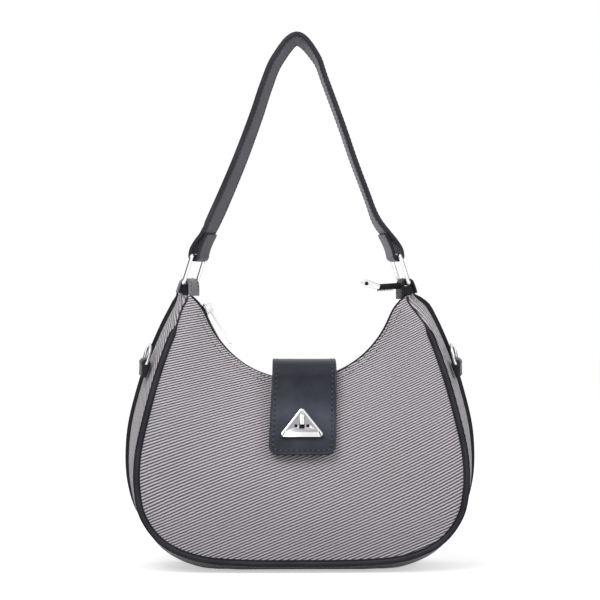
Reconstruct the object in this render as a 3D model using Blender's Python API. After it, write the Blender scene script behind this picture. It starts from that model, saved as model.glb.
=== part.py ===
"""A baguette shoulder bag: twill body with two horns, black trim, zip, flap with a sliding lock, and strap.

Metres, +Z up. The bag faces -Y and stands on its base at Z = 0, centred over the origin.
"""

import math

import bmesh
import bpy
import numpy as np
from mathutils import Vector
from mathutils.geometry import tessellate_polygon

# Whole bag: outline of the seams, seen from the front
FRONT_HALF_WIDTH = 0.128
BACK_HALF_WIDTH = 0.1385
HORN_HEIGHT = 0.2145
BASE_HALF_DEPTH = 0.038
HORN_HALF_DEPTH = 0.014
DEPTH_FALL_POWER = 2.2

# Half outlines from the middle of the base up the horn: share of half width, share of horn height
FRONT_SEAM_SHARES = (
    (0.0, 0.034), (0.35, 0.036), (0.62, 0.052), (0.83, 0.105), (0.955, 0.195), (0.997, 0.30),
    (0.994, 0.42), (0.95, 0.55), (0.873, 0.72), (0.777, 0.875),
)
BACK_SEAM_SHARES = (
    (0.0, 0.030), (0.35, 0.032), (0.62, 0.048), (0.81, 0.10), (0.935, 0.19), (0.99, 0.30),
    (1.0, 0.42), (0.975, 0.55), (0.89, 0.74), (0.80, 0.88),
)

# Horn tips, outwards from the ends of the mouth: just under the tip, and at it
FRONT_TIP_OFFSETS = (0.0082, 0.0073)
BACK_TIP_OFFSETS = (0.0221, 0.0207)
FRONT_TIP_SHARES = (0.98, 1.0)
BACK_TIP_SHARES = (0.985, 1.01)

# Shell walls
PANEL_THICKNESS = 0.002
GUSSET_THICKNESS = 0.002
LINING_THICKNESS = 0.0008
SEAM_GAP = 0.0003
PIPING_RADIUS = 0.0024
FRONT_BELLY = 0.013
BACK_BELLY = 0.0158
FULLNESS_POWER = 0.8
GUSSET_SIDE_BELLY = 0.005
GUSSET_BASE_BELLY = 0.011
LINING_PANEL_GAP = 0.0024
LINING_GUSSET_GAP = 0.0018
LINING_DROP = 0.0028
LINING_ROW_SHARES = (1.0, 0.66, 0.33)

# Mouth: an arc about a level axis above the bag
MOUTH_RADIUS = 0.0781
MOUTH_CENTRE_RISE = 0.0118
MOUTH_HALF_ANGLE = math.radians(80)
MOUTH_CENTRE_Z = HORN_HEIGHT + MOUTH_CENTRE_RISE
MOUTH_LOW_Z = MOUTH_CENTRE_Z - MOUTH_RADIUS
MOUTH_END_X = MOUTH_RADIUS * math.sin(MOUTH_HALF_ANGLE)

# Zip
ZIP_TAPE_THICKNESS = 0.0014
ZIP_HALF_ANGLE = math.radians(79)
ZIP_PITCH = 0.0044
TOOTH_SHARE = 0.42
ZIP_ROOT_OFFSET = 0.0034
TOOTH_REACH = 0.0011
TOOTH_FREE_ANGLE = math.radians(4)
TAPE_EDGE_OFFSET = 0.0132
TAPE_FOLD_OFFSET = 0.0100
TAPE_WELL_OFFSET = 0.0074
TAPE_EDGE_RISE = 0.0011
TAPE_WELL_DROP = 0.0018
CHAIN_DROP = 0.0019
SLIDER_STOP_GAP = 0.00098
SLIDER_LENGTH = 0.010
SLIDER_WIDTH = 0.0104
SLIDER_PLATE = 0.0012
SLIDER_CLEARANCE = 0.0005
SLIDER_POST_WIDTH = 0.0016
SLIDER_POST_LENGTH = 0.0022
BRIDGE_WIDTH = 0.0020
BRIDGE_LENGTH = 0.0080
BRIDGE_BAR = 0.0012
BRIDGE_SPACE = 0.0030
STOP_LENGTH = 0.0017
STOP_WIDTH = 0.0026
PULLER_LENGTH = 0.0330
PULLER_WIDTH = 0.0046
PULLER_THICKNESS = 0.0014
PULLER_EYE_LENGTH = 0.0044
PULLER_EYE_WIDTH = 0.0029
PULLER_LEAN = math.radians(15)
TAIL_LENGTH = 0.0120
TAIL_HEIGHT = 0.0048
TAIL_THICKNESS = 0.0036
TAIL_CAP_LENGTH = 0.0115
TAIL_CAP_WALL = 0.0010
TAIL_CAP_SHARES = (0.0, 0.2, 0.8, 1.0)
TAIL_GAP = 0.0004
TAIL_RISE = 0.0077
TAIL_SINK = math.radians(4)

# Flap
FLAP_THICKNESS = 0.0026
FLAP_LINING_THICKNESS = 0.0010
FLAP_TOP_HALF_WIDTH = 0.0245
FLAP_END_HALF_WIDTH = 0.0262
FLAP_CORNER_RADIUS = 0.0080
FLAP_CORNER_SHARES = (0.6, 0.3, 0.1, 0.0)
FLAP_RISE = 0.0150
FLAP_FRONT_TOP_DROP = 0.0202
FLAP_FRONT_TOP_STAND = 0.0065
FLAP_END_DROP = 0.0567
FLAP_END_STAND = 0.0062
FLAP_ROOT_LENGTH = 0.030
FLAP_ROOT_GAP = 0.0006
# From the root's bend to the front bend: share of the mouth's half depth, share of the flap's rise
FLAP_BEND_SHARES = (
    (1.12, 0.62), (0.80, 0.90), (0.20, 1.0), (-0.70, 0.99), (-1.35, 0.80), (-1.80, 0.30), (-2.06, -0.50),
)

# Lock
LOCK_SHARE = 0.30
LOCK_WIDTH = 0.032
LOCK_HEIGHT = 0.0215
LOCK_THICKNESS = 0.0028
LOCK_CORNER = 0.0022
LOCK_BEVEL = 0.0007
BUTTON_WIDTH = 0.0036
BUTTON_LENGTH = 0.0080
BUTTON_TRAVEL = 0.0025
BUTTON_STAND = 0.0012
BUTTON_CLEARANCE = 0.0003
SLOT_SPARE = 0.0027
SLOT_LENGTH = BUTTON_LENGTH + BUTTON_TRAVEL + SLOT_SPARE
SLOT_TOP = 0.0092
POST_RADIUS = 0.0020
POST_CENTRE = -0.0014
WINDOW_HALF_WIDTH = 0.0027
WINDOW_ABOVE = 0.0006
WINDOW_BELOW = 0.0046
LOCK_BACK_WIDTH = 0.020
LOCK_BACK_HEIGHT = 0.0165
LOCK_BACK_THICKNESS = 0.0010
CATCH_RADIUS = 0.0070
CATCH_THICKNESS = 0.0012
WASHER_RADIUS = 0.0060
WASHER_BORE = 0.0022
WASHER_THICKNESS = 0.0008
WASHER_CLEARANCE = 0.0003

# Strap, its rings and the loops that hold them
RING_WIRE = 0.0030
RING_LENGTH = 0.0325
RING_HEIGHT = 0.0264
RING_CORNER = 0.0025
RING_LEAN = math.radians(18.7)
LEFT_RING_OFFSET = 0.01108
RIGHT_RING_OFFSET = 0.00508
RING_FOOT_RISE = 0.0097
LEFT_RING_YAW = math.radians(19)
RIGHT_RING_YAW = math.radians(11)
HORN_TAB_WIDTH = 0.020
HORN_TAB_LENGTH = 0.0165
HORN_BAR_CLEARANCE = 0.0007
HORN_TAB_THICKNESS = 0.0019
HORN_CROWN_SHARE = 0.72
HORN_CORNER_SHARE = 0.32
HORN_TAB_GAP = 0.0003
LEFT_RING_X = -MOUTH_END_X - LEFT_RING_OFFSET
RIGHT_RING_X = MOUTH_END_X + RIGHT_RING_OFFSET
RING_FOOT_Z = HORN_HEIGHT + RING_FOOT_RISE
STRAP_WIDTH = 0.0265
STRAP_THICKNESS = 0.0038
STRAP_FOLD_THICKNESS = 0.0026
STRAP_BAR_CLEARANCE = 0.0009
STRAP_SIDE_PLAY = 0.0014
STRAP_SPAN_INSET = 0.005
STRAP_RISE = 0.172
STRAP_END_HEIGHT = 0.0168
STRAP_SPLIT_GAP = 0.0023
STRAP_HALF_SPAN = (RIGHT_RING_X - LEFT_RING_X) / 2 - STRAP_SPAN_INSET
STRAP_LEAN_SHARE = 0.42
STRAP_LEFT_TILT = math.radians(22)
STRAP_TOP_TILT = math.radians(14)
STRAP_RIGHT_TILT = math.radians(3)
# From the left end to the right end: share of the half span, share of the rise above the ring's upper bar
STRAP_SHARES = (
    (-0.81, 0.216), (-0.653, 0.386), (-0.54, 0.52), (-0.433, 0.658), (-0.344, 0.783),
    (-0.238, 0.90), (-0.02, 1.0), (0.185, 0.915), (0.286, 0.80), (0.4275, 0.603),
    (0.539, 0.44), (0.656, 0.283), (0.745, 0.165),
)

# Side loops and their D-rings
D_RING_HEIGHT = 0.018
D_RING_WIDTH = 0.0195
D_RING_WIRE = 0.0025
D_RING_LEAN = math.radians(6)
SIDE_TAB_SHARE = 0.745
SIDE_TAB_WIDTH = 0.0135
SIDE_TAB_LENGTH = 0.0105
SIDE_TAB_THICKNESS = 0.0019
SIDE_TAB_GAP = 0.0005
SIDE_BAR_CLEARANCE = 0.0006

# Fineness of the meshes
ALONG = 48
PANEL_ROWS = 8
GUSSET_ROWS = 8
TUBE_SIDES = 8
STRAP_STEPS = 40
FLAP_STEPS = 22
FLAP_COLUMNS = 6
CORNER_STEPS = 4
ROUND_STEPS = 20
SPLINE_STEPS = 24
CUT_OVERRUN = 0.004
SHARP_ANGLE = math.radians(40)
BEVEL_ANGLE = math.radians(60)

X_AXIS = np.array((1.0, 0.0, 0.0))
Y_AXIS = np.array((0.0, 1.0, 0.0))
Z_AXIS = np.array((0.0, 0.0, 1.0))


# Materials

def make_material(name, colour, roughness, metallic):
    material = bpy.data.materials.new(name)
    material.use_nodes = True
    shader = material.node_tree.nodes["Principled BSDF"]
    shader.inputs["Base Color"].default_value = (*colour, 1)
    shader.inputs["Roughness"].default_value = roughness
    shader.inputs["Metallic"].default_value = metallic
    return material


def make_materials():
    return {
        "twill": make_material("grey_twill", (0.33, 0.30, 0.33), 0.85, 0),
        "leather": make_material("black_leather", (0.045, 0.048, 0.06), 0.5, 0),
        "tape": make_material("black_zip_tape", (0.03, 0.03, 0.035), 0.9, 0),
        "metal": make_material("bright_metal", (0.75, 0.76, 0.78), 0.2, 1),
        "lining": make_material("dark_lining", (0.10, 0.09, 0.10), 0.8, 0),
    }


# Curves and vectors

def unit(vector):
    return np.asarray(vector, float) / np.linalg.norm(vector)


def blend(start, end, share):
    return start + (end - start) * share


def smooth_curve(points, count):
    """A smooth curve through the points, read at count even places along its length."""
    points = np.asarray(points, float)
    ends = np.vstack([2 * points[0] - points[1], points, 2 * points[-1] - points[-2]])
    dense = []
    for first, second, third, fourth in zip(ends, ends[1:], ends[2:], ends[3:]):
        for t in np.linspace(0, 1, SPLINE_STEPS, endpoint=False):
            dense.append(
                0.5 * (2 * second + (third - first) * t
                       + (2 * first - 5 * second + 4 * third - fourth) * t**2
                       + (3 * second - first - 3 * third + fourth) * t**3)
            )
    dense.append(points[-1])
    return even_points(np.array(dense), count)


def even_points(points, count):
    lengths = np.concatenate([[0], np.cumsum(np.linalg.norm(np.diff(points, axis=0), axis=1))])
    wanted = np.linspace(0, lengths[-1], count)
    return np.column_stack([np.interp(wanted, lengths, points[:, axis]) for axis in range(points.shape[1])])


def directions(path, closed=False):
    if closed:
        steps = np.roll(path, -1, axis=0) - np.roll(path, 1, axis=0)
    else:
        steps = np.gradient(path, axis=0)
    return steps / np.linalg.norm(steps, axis=1)[:, None]


def arc_points(centre, radius, start, end, steps):
    angles = np.linspace(start, end, steps + 1)
    return [(centre[0] + radius * math.cos(a), centre[1] + radius * math.sin(a)) for a in angles]


def circle_points(centre, radius, steps):
    return arc_points(centre, radius, 0, 2 * math.pi, steps)[:-1]


def rounded_polygon(corners, radius, steps):
    """Corners in order, each replaced by an arc of the radius."""
    outline = []
    count = len(corners)
    for index in range(count):
        corner = np.array(corners[index])
        before = unit(np.array(corners[index - 1]) - corner)
        after = unit(np.array(corners[(index + 1) % count]) - corner)
        half = math.acos(np.clip(before @ after, -1, 1)) / 2
        centre = corner + unit(before + after) * radius / math.sin(half)
        start = unit(corner + before * radius / math.tan(half) - centre)
        end = unit(corner + after * radius / math.tan(half) - centre)
        for share in np.linspace(0, 1, steps + 1):
            outline.append(tuple(centre + unit(blend(start, end, share)) * radius))
    return outline


# Mesh builders

def new_object(name, points, faces, material, origin=(0, 0, 0), smooth=True):
    """A mesh object whose own origin is at the given place."""
    mesh = bpy.data.meshes.new(name)
    local = np.asarray(points, float) - np.asarray(origin, float)
    mesh.from_pydata([tuple(point) for point in local], [], faces)
    mesh.materials.append(material)
    builder = bmesh.new()
    builder.from_mesh(mesh)
    bmesh.ops.recalc_face_normals(builder, faces=builder.faces)
    if builder.calc_volume(signed=True) < 0:
        bmesh.ops.reverse_faces(builder, faces=builder.faces)
    builder.to_mesh(mesh)
    builder.free()
    if smooth:
        mesh.shade_smooth()
        mesh.set_sharp_from_angle(angle=SHARP_ANGLE)
    thing = bpy.data.objects.new(name, mesh)
    thing.location = origin
    bpy.context.scene.collection.objects.link(thing)
    return thing


def grid_shell(outer, inner):
    """Points and faces of a closed wall between two grids of the same size."""
    rows, columns = outer.shape[:2]
    points = np.concatenate([outer.reshape(-1, 3), inner.reshape(-1, 3)])
    half = rows * columns
    faces = []
    for i in range(rows - 1):
        for j in range(columns - 1):
            a, b = i * columns + j, i * columns + j + 1
            c, d = b + columns, a + columns
            faces.append((a, b, c, d))
            faces.append((half + d, half + c, half + b, half + a))
    rim = [(0, j) for j in range(columns)] + [(i, columns - 1) for i in range(1, rows)]
    rim += [(rows - 1, j) for j in range(columns - 2, -1, -1)] + [(i, 0) for i in range(rows - 2, 0, -1)]
    for (i, j), (k, m) in zip(rim, rim[1:] + rim[:1]):
        first, second = i * columns + j, k * columns + m
        faces.append((second, first, half + first, half + second))
    return points, faces


def sweep(path, across, section, closed=False):
    """A section (side, up) carried along a path. Across is the side direction, one or one for each point."""
    path = np.asarray(path, float)
    along = directions(path, closed)
    across = np.broadcast_to(np.asarray(across, float), path.shape)
    rings = []
    for place, tangent, side in zip(path, along, across):
        up = unit(np.cross(tangent, side))
        flat_side = unit(np.cross(up, tangent))
        rings.append([place + flat_side * x + up * y for x, y in section])
    count = len(section)
    faces = []
    last = len(rings) if closed else len(rings) - 1
    for i in range(last):
        k = (i + 1) % len(rings)
        for j in range(count):
            m = (j + 1) % count
            faces.append((i * count + j, i * count + m, k * count + m, k * count + j))
    if not closed:
        faces.append(tuple(range(count)))
        faces.append(tuple((len(rings) - 1) * count + j for j in range(count - 1, -1, -1)))
    return np.array(rings).reshape(-1, 3), faces


def slab(loops, low, high, place):
    """An outline with holes, made solid from low to high. Place turns (x, y, height) into a point."""
    flat = [[Vector((x, y, 0)) for x, y in loop] for loop in loops]
    caps = tessellate_polygon(flat)
    corners = [point for loop in loops for point in loop]
    count = len(corners)
    points = [place(x, y, low) for x, y in corners] + [place(x, y, high) for x, y in corners]
    faces = [tuple(cap) for cap in caps] + [tuple(count + index for index in reversed(cap)) for cap in caps]
    start = 0
    for loop in loops:
        for index in range(len(loop)):
            a, b = start + index, start + (index + 1) % len(loop)
            faces.append((a, b, count + b, count + a))
        start += len(loop)
    return np.array(points), faces


def cells(first, second, third, filled, place):
    """The skin of the filled cells of a grid. The three lists are where the grid is divided."""
    sizes = (len(first) - 1, len(second) - 1, len(third) - 1)
    index_of = {}
    points = []
    faces = []

    def corner(i, j, k):
        if (i, j, k) not in index_of:
            index_of[i, j, k] = len(points)
            points.append(place(first[i], second[j], third[k], j))
        return index_of[i, j, k]

    def solid(cell):
        return all(0 <= cell[axis] < sizes[axis] for axis in range(3)) and filled(*cell)

    for i in range(sizes[0]):
        for j in range(sizes[1]):
            for k in range(sizes[2]):
                if not solid((i, j, k)):
                    continue
                for axis in range(3):
                    for side in (0, 1):
                        beside = [i, j, k]
                        beside[axis] += 1 if side else -1
                        if solid(tuple(beside)):
                            continue
                        u, v = (axis + 1) % 3, (axis + 2) % 3
                        quad = []
                        for du, dv in ((0, 0), (1, 0), (1, 1), (0, 1)):
                            at = [i, j, k]
                            at[axis] += side
                            at[u] += du
                            at[v] += dv
                            quad.append(corner(*at))
                        faces.append(tuple(quad if side else reversed(quad)))
    return np.array(points), faces


def box_cutter(name, centre, size, axes, host):
    """A box that cuts its host. Size is whole lengths along the three axes."""
    halves = [length / 2 * axis for length, axis in zip(size, axes)]
    corners = []
    for up in (-1, 1):
        for right, far in ((-1, -1), (1, -1), (1, 1), (-1, 1)):
            corners.append(centre + halves[0] * right + halves[1] * far + halves[2] * up)
    faces = [(0, 3, 2, 1), (4, 5, 6, 7), (0, 1, 5, 4), (1, 2, 6, 5), (2, 3, 7, 6), (3, 0, 4, 7)]
    cutter = new_object(name, corners, faces, host.data.materials[0], smooth=False)
    cutter.hide_render = True
    cutter.display_type = "WIRE"
    cut = host.modifiers.new("cut", "BOOLEAN")
    cut.operation = "DIFFERENCE"
    cut.solver = "EXACT"
    cut.object = cutter


# Seams and frames of the body

def whole_outline(shares, half_width, tip_offsets, tip_shares):
    half = [(x * half_width, z * HORN_HEIGHT) for x, z in shares]
    half += [(MOUTH_END_X + offset, z * HORN_HEIGHT) for offset, z in zip(tip_offsets, tip_shares)]
    left = [(-x, z) for x, z in reversed(half)]
    return smooth_curve(left + half[1:], ALONG + 1)


def seam_depth(z):
    fall = (z / HORN_HEIGHT).clip(0, 1) ** DEPTH_FALL_POWER
    return HORN_HALF_DEPTH + (BASE_HALF_DEPTH - HORN_HALF_DEPTH) * (1 - fall)


def outward(path):
    """The direction away from the bag's middle, in the front view."""
    along = directions(path)
    return np.column_stack([along[:, 1], -along[:, 0]])


def mouth_point(angle, radius):
    """A point of the mouth's arc. The angle is from straight down, to the right."""
    return np.array((radius * math.sin(angle), MOUTH_CENTRE_Z - radius * math.cos(angle)))


def mouth_arc(radius):
    angles = np.linspace(-MOUTH_HALF_ANGLE, MOUTH_HALF_ANGLE, ALONG + 1)
    return np.array([mouth_point(angle, radius) for angle in angles])


FRONT_SEAM = whole_outline(FRONT_SEAM_SHARES, FRONT_HALF_WIDTH, FRONT_TIP_OFFSETS, FRONT_TIP_SHARES)
BACK_SEAM = whole_outline(BACK_SEAM_SHARES, BACK_HALF_WIDTH, BACK_TIP_OFFSETS, BACK_TIP_SHARES)
EDGE_INSET = PIPING_RADIUS + SEAM_GAP


def seam_points(seam, side):
    """The seam in space. Side is -1 at the front and 1 at the back."""
    return np.column_stack([seam[:, 0], side * seam_depth(seam[:, 1]), seam[:, 1]])


def in_space(flat):
    return np.column_stack([flat[:, 0], np.zeros(len(flat)), flat[:, 1]])


def panel_grid(seam, side, belly, shares):
    """The outer surface of a panel, from its seam to the mouth."""
    rim = seam - outward(seam) * EDGE_INSET
    mouth = mouth_arc(MOUTH_RADIUS)
    width = np.linalg.norm(rim - mouth, axis=1)
    fullness = (width / width.max()) ** FULLNESS_POWER
    depth = seam_depth(seam[:, 1])
    rows = []
    for v in shares:
        flat = blend(rim, mouth, v)
        y = blend(depth, HORN_HALF_DEPTH, v) + belly * 4 * v * (1 - v) * fullness
        rows.append(np.column_stack([flat[:, 0], side * y, flat[:, 1]]))
    return np.array(rows).transpose(1, 0, 2)


def panel_reach(seam, side, belly, z, half_width):
    """How far from the middle a panel stands at a height, at most, within half a width of the middle."""
    grid = panel_grid(seam, side, belly, np.linspace(0, 1, PANEL_ROWS + 1))
    reach = 0
    for column in grid:
        if np.abs(column[:, 0]).min() <= half_width:
            reach = max(reach, np.interp(z, column[:, 2], side * column[:, 1]))
    return reach


def gusset_grid(inset=EDGE_INSET):
    """The outer surface of the gusset, from the front seam to the back seam, and its outward directions."""
    front = seam_points(FRONT_SEAM, -1)
    back = seam_points(BACK_SEAM, 1)
    across = back - front
    across /= np.linalg.norm(across, axis=1)[:, None]
    start, end = front + across * inset, back - across * inset
    out = (outward(FRONT_SEAM) + outward(BACK_SEAM)) / 2
    out /= np.linalg.norm(out, axis=1)[:, None]
    downward = np.clip(-out[:, 1], 0, 1)[:, None] ** 2
    belly = blend(GUSSET_SIDE_BELLY, GUSSET_BASE_BELLY, downward)
    belly = belly * np.clip(np.linalg.norm(end - start, axis=1)[:, None] / (2 * BASE_HALF_DEPTH), 0, 1)
    rows = []
    for w in np.linspace(0, 1, GUSSET_ROWS + 1):
        row = blend(start, end, w) + in_space(out) * belly * 4 * w * (1 - w)
        row[:, 2] = np.maximum(row[:, 2], 0)
        rows.append(row)
    return np.array(rows).transpose(1, 0, 2), in_space(out)


# Body

def make_panel(name, seam, side, belly, material):
    outer = panel_grid(seam, side, belly, np.linspace(0, 1, PANEL_ROWS + 1))
    inner = outer - Y_AXIS * side * PANEL_THICKNESS
    points, faces = grid_shell(outer, inner)
    return new_object(name, points, faces, material)


def make_gusset(material):
    outer, out = gusset_grid()
    inner = outer - out[:, None, :] * GUSSET_THICKNESS
    points, faces = grid_shell(outer, inner)
    return new_object("gusset", points, faces, material)


def make_piping(name, seam, side, material):
    points, faces = sweep(seam_points(seam, side), Y_AXIS, circle_points((0, 0), PIPING_RADIUS, TUBE_SIDES))
    return new_object(name, points, faces, material)


def make_lining(material):
    """An open pouch that follows the inside of the panels and the gusset."""
    from_panel = PANEL_THICKNESS + LINING_PANEL_GAP
    from_gusset = GUSSET_THICKNESS + LINING_GUSSET_GAP
    gusset, out = gusset_grid()
    quarter = GUSSET_ROWS // 4
    base = [gusset[:, row * quarter] for row in (1, 2, 3)]
    top_radius = MOUTH_RADIUS + LINING_DROP
    surfaces = []
    for extra in (0, LINING_THICKNESS):
        inward = -out * (from_gusset + extra)
        columns = []
        for seam, side, belly in ((FRONT_SEAM, -1, FRONT_BELLY), (BACK_SEAM, 1, BACK_BELLY)):
            shift = -Y_AXIS * side * (from_panel + extra)
            panel = panel_grid(seam, side, belly, LINING_ROW_SHARES).transpose(1, 0, 2)
            top = in_space(mouth_arc(top_radius))
            top[:, 1] = panel[0][:, 1]
            corner = seam_points(seam, side) + inward
            set_of = [top + shift, panel[1] + shift, panel[2] + shift, corner + shift]
            columns += set_of if side < 0 else [strip + inward for strip in base] + set_of[::-1]
        surfaces.append(np.array(columns).transpose(1, 0, 2))
    points, faces = grid_shell(*surfaces)
    return new_object("lining", points, faces, material)


# Zip, on a profile turned about the mouth's axis

CHAIN_RADIUS = MOUTH_RADIUS + CHAIN_DROP
SLIDER_ANGLE = ZIP_HALF_ANGLE - (STOP_LENGTH + SLIDER_STOP_GAP + SLIDER_LENGTH / 2) / CHAIN_RADIUS
TAPE_TABLE = (
    (TAPE_EDGE_OFFSET, MOUTH_RADIUS - TAPE_EDGE_RISE),
    (TAPE_FOLD_OFFSET, MOUTH_RADIUS - TAPE_EDGE_RISE),
    (TAPE_WELL_OFFSET, MOUTH_RADIUS + TAPE_WELL_DROP),
    (ZIP_ROOT_OFFSET, CHAIN_RADIUS),
    (-TOOTH_REACH, CHAIN_RADIUS),
)
TEETH_START = -SLIDER_ANGLE
TEETH_END = ZIP_HALF_ANGLE - TOOTH_FREE_ANGLE


def make_zip_tape(name, side, material):
    """One tape with its teeth on its inner edge. The two tapes' teeth lie between each other."""
    pitch = ZIP_PITCH / CHAIN_RADIUS
    count = int((TEETH_END - TEETH_START) / pitch)
    first = TEETH_START + (pitch / 2 if side > 0 else 0)
    divisions = [-ZIP_HALF_ANGLE]
    for index in range(count):
        start = first + index * pitch
        divisions += [start, start + pitch * TOOTH_SHARE]
    divisions.append(ZIP_HALF_ANGLE)
    heights = (-ZIP_TAPE_THICKNESS / 2, ZIP_TAPE_THICKNESS / 2)

    def filled(i, j, k):
        return j < len(TAPE_TABLE) - 2 or i % 2 == 1

    def place(angle, offset, height, row):
        x, z = mouth_point(angle, TAPE_TABLE[row][1] + height)
        return (x, side * offset, z)

    points, faces = cells(divisions, [row[0] for row in TAPE_TABLE], heights, filled, place)
    return new_object(name, points, faces, material, smooth=False)


def on_zip(angle, along, across, above):
    """A point of the slider's frame: along the chain, across it, and above it towards the mouth's axis."""
    x, z = mouth_point(angle, CHAIN_RADIUS - above)
    return (x + along * math.cos(angle), across, z + along * math.sin(angle))


PLATE_BOTTOM = ZIP_TAPE_THICKNESS / 2 + SLIDER_CLEARANCE
BRIDGE_FLOOR = PLATE_BOTTOM + SLIDER_PLATE
PIVOT_ABOVE = BRIDGE_FLOOR + BRIDGE_SPACE / 2


def make_zip_slider(material):
    """Two plates joined by a post at the front, with the bridge that holds the puller."""
    half_length, half_width = SLIDER_LENGTH / 2, SLIDER_WIDTH / 2
    half_bridge = BRIDGE_LENGTH / 2
    along = [-half_length, -half_bridge, -half_length + SLIDER_POST_LENGTH, -half_bridge + SLIDER_POST_LENGTH,
             half_bridge - BRIDGE_BAR, half_bridge, half_length]
    half_bar, half_post = BRIDGE_WIDTH / 2, SLIDER_POST_WIDTH / 2
    across = [-half_width, -half_bar, -half_post, half_post, half_bar, half_width]
    above = [-PLATE_BOTTOM - SLIDER_PLATE, -PLATE_BOTTOM, PLATE_BOTTOM, BRIDGE_FLOOR,
             BRIDGE_FLOOR + BRIDGE_SPACE, BRIDGE_FLOOR + BRIDGE_SPACE + BRIDGE_BAR]

    def filled(i, j, k):
        if k in (0, 2):
            return True
        if k == 1:
            return i < 2 and j == 2
        inside_bridge = 1 <= i <= 4 and 1 <= j <= 3
        return inside_bridge and (k == 4 or i in (1, 4))

    def place(x, y, height, row):
        return on_zip(-SLIDER_ANGLE, x, y, height)

    points, faces = cells(along, across, above, filled, place)
    return new_object("zip_slider", points, faces, material, (0, 0, MOUTH_CENTRE_Z), smooth=False)


def make_zip_puller(material):
    """A flat bar with an eye round the slider's bridge."""
    half = PULLER_WIDTH / 2
    bar = BRIDGE_BAR / 2
    outline = rounded_polygon([(-bar, -half), (PULLER_LENGTH, -half), (PULLER_LENGTH, half), (-bar, half)],
                              bar, CORNER_STEPS // 2)
    eye = [(bar, -PULLER_EYE_WIDTH / 2), (bar + PULLER_EYE_LENGTH, -PULLER_EYE_WIDTH / 2),
           (bar + PULLER_EYE_LENGTH, PULLER_EYE_WIDTH / 2), (bar, PULLER_EYE_WIDTH / 2)]
    hole = circle_points((PULLER_LENGTH - PULLER_WIDTH, 0), PULLER_WIDTH / 4, TUBE_SIDES)
    lean_along, lean_above = math.cos(PULLER_LEAN), math.sin(PULLER_LEAN)

    def place(x, y, height):
        along = x * lean_along - height * lean_above
        above = PIVOT_ABOVE + x * lean_above + height * lean_along
        return on_zip(-SLIDER_ANGLE, along, y, above)

    points, faces = slab([outline, eye, hole], -PULLER_THICKNESS / 2, PULLER_THICKNESS / 2, place)
    pivot = on_zip(-SLIDER_ANGLE, 0, 0, PIVOT_ABOVE)
    return new_object("zip_puller", points, faces, material, pivot, smooth=False)


def make_zip_stop(name, side, material):
    """A small clamp on the tape's edge, past the slider."""
    inner = ZIP_ROOT_OFFSET - SEAM_GAP
    start = -ZIP_HALF_ANGLE
    end = start + STOP_LENGTH / CHAIN_RADIUS
    half = ZIP_TAPE_THICKNESS

    def place(angle, offset, height, row):
        x, z = mouth_point(angle, CHAIN_RADIUS - height)
        return (x, side * offset, z)

    sides = [inner - STOP_WIDTH, inner]
    points, faces = cells([start, end], sides, [-half, half], lambda i, j, k: True, place)
    return new_object(name, points, faces, material, smooth=False)


def tail_frame():
    """The tail's root beside the right horn's loop, and its direction."""
    along = np.array((-math.cos(TAIL_SINK), 0, -math.sin(TAIL_SINK)))
    return np.array((RIGHT_RING_X - HORN_TAB_LENGTH / 2 - TAIL_GAP, 0, HORN_HEIGHT + TAIL_RISE)), along


def make_zip_tail(leather, metal):
    """The loose end of the zip, folded lengthwise, with its metal end cap."""
    root, along = tail_frame()
    up = np.cross(Y_AXIS, along)
    half_height, half_thickness = TAIL_HEIGHT / 2, TAIL_THICKNESS / 2
    outline = arc_points((half_height, 0), half_height, math.pi / 2, math.pi * 3 / 2, CORNER_STEPS * 2)
    outline += [(TAIL_LENGTH, -half_height), (TAIL_LENGTH, half_height)]

    def place(x, z, y):
        return root + along * x + up * z + Y_AXIS * y

    pivot = tuple(place(half_height, 0, 0))
    points, faces = slab([outline], -half_thickness, half_thickness, place)
    new_object("zip_tail", points, faces, leather, pivot, smooth=False)
    section = rounded_polygon([(-half_thickness, -half_height), (half_thickness, -half_height),
                               (half_thickness, half_height), (-half_thickness, half_height)],
                              half_thickness / 2, CORNER_STEPS // 2)
    grow = 1 + TAIL_CAP_WALL / half_height
    cap_start = root + along * (TAIL_LENGTH + SEAM_GAP)
    path = np.array([cap_start + along * TAIL_CAP_LENGTH * share for share in TAIL_CAP_SHARES])
    points, faces = sweep(path, Y_AXIS, [(x * grow, y * grow) for x, y in section])
    cap = new_object("zip_tail_cap", points, faces, metal, pivot)
    bevel = cap.modifiers.new("rounding", "BEVEL")
    bevel.width = TAIL_CAP_WALL / 2
    bevel.segments = 2
    bevel.limit_method = "ANGLE"
    bevel.angle_limit = BEVEL_ANGLE


# Flap

def front_of_panel(drop, stand):
    """A point of the side view that stands off the front panel, at a drop below the mouth."""
    z = MOUTH_LOW_Z - drop
    return np.array((-panel_reach(FRONT_SEAM, -1, FRONT_BELLY, z, FLAP_END_HALF_WIDTH) - stand, z))


FLAP_FRONT_TOP = front_of_panel(FLAP_FRONT_TOP_DROP, FLAP_FRONT_TOP_STAND)
FLAP_END = front_of_panel(FLAP_END_DROP, FLAP_END_STAND)
FLAP_BEND = [(y * HORN_HALF_DEPTH, MOUTH_LOW_Z + z * FLAP_RISE) for y, z in FLAP_BEND_SHARES]
HINGE_YZ = np.array(FLAP_BEND[0])


def flap_line():
    """The middle of the flap's thickness in the side view, from the hinge to the free end."""
    return smooth_curve(FLAP_BEND + [tuple(FLAP_FRONT_TOP), tuple(FLAP_END)], FLAP_STEPS + 1)


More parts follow.
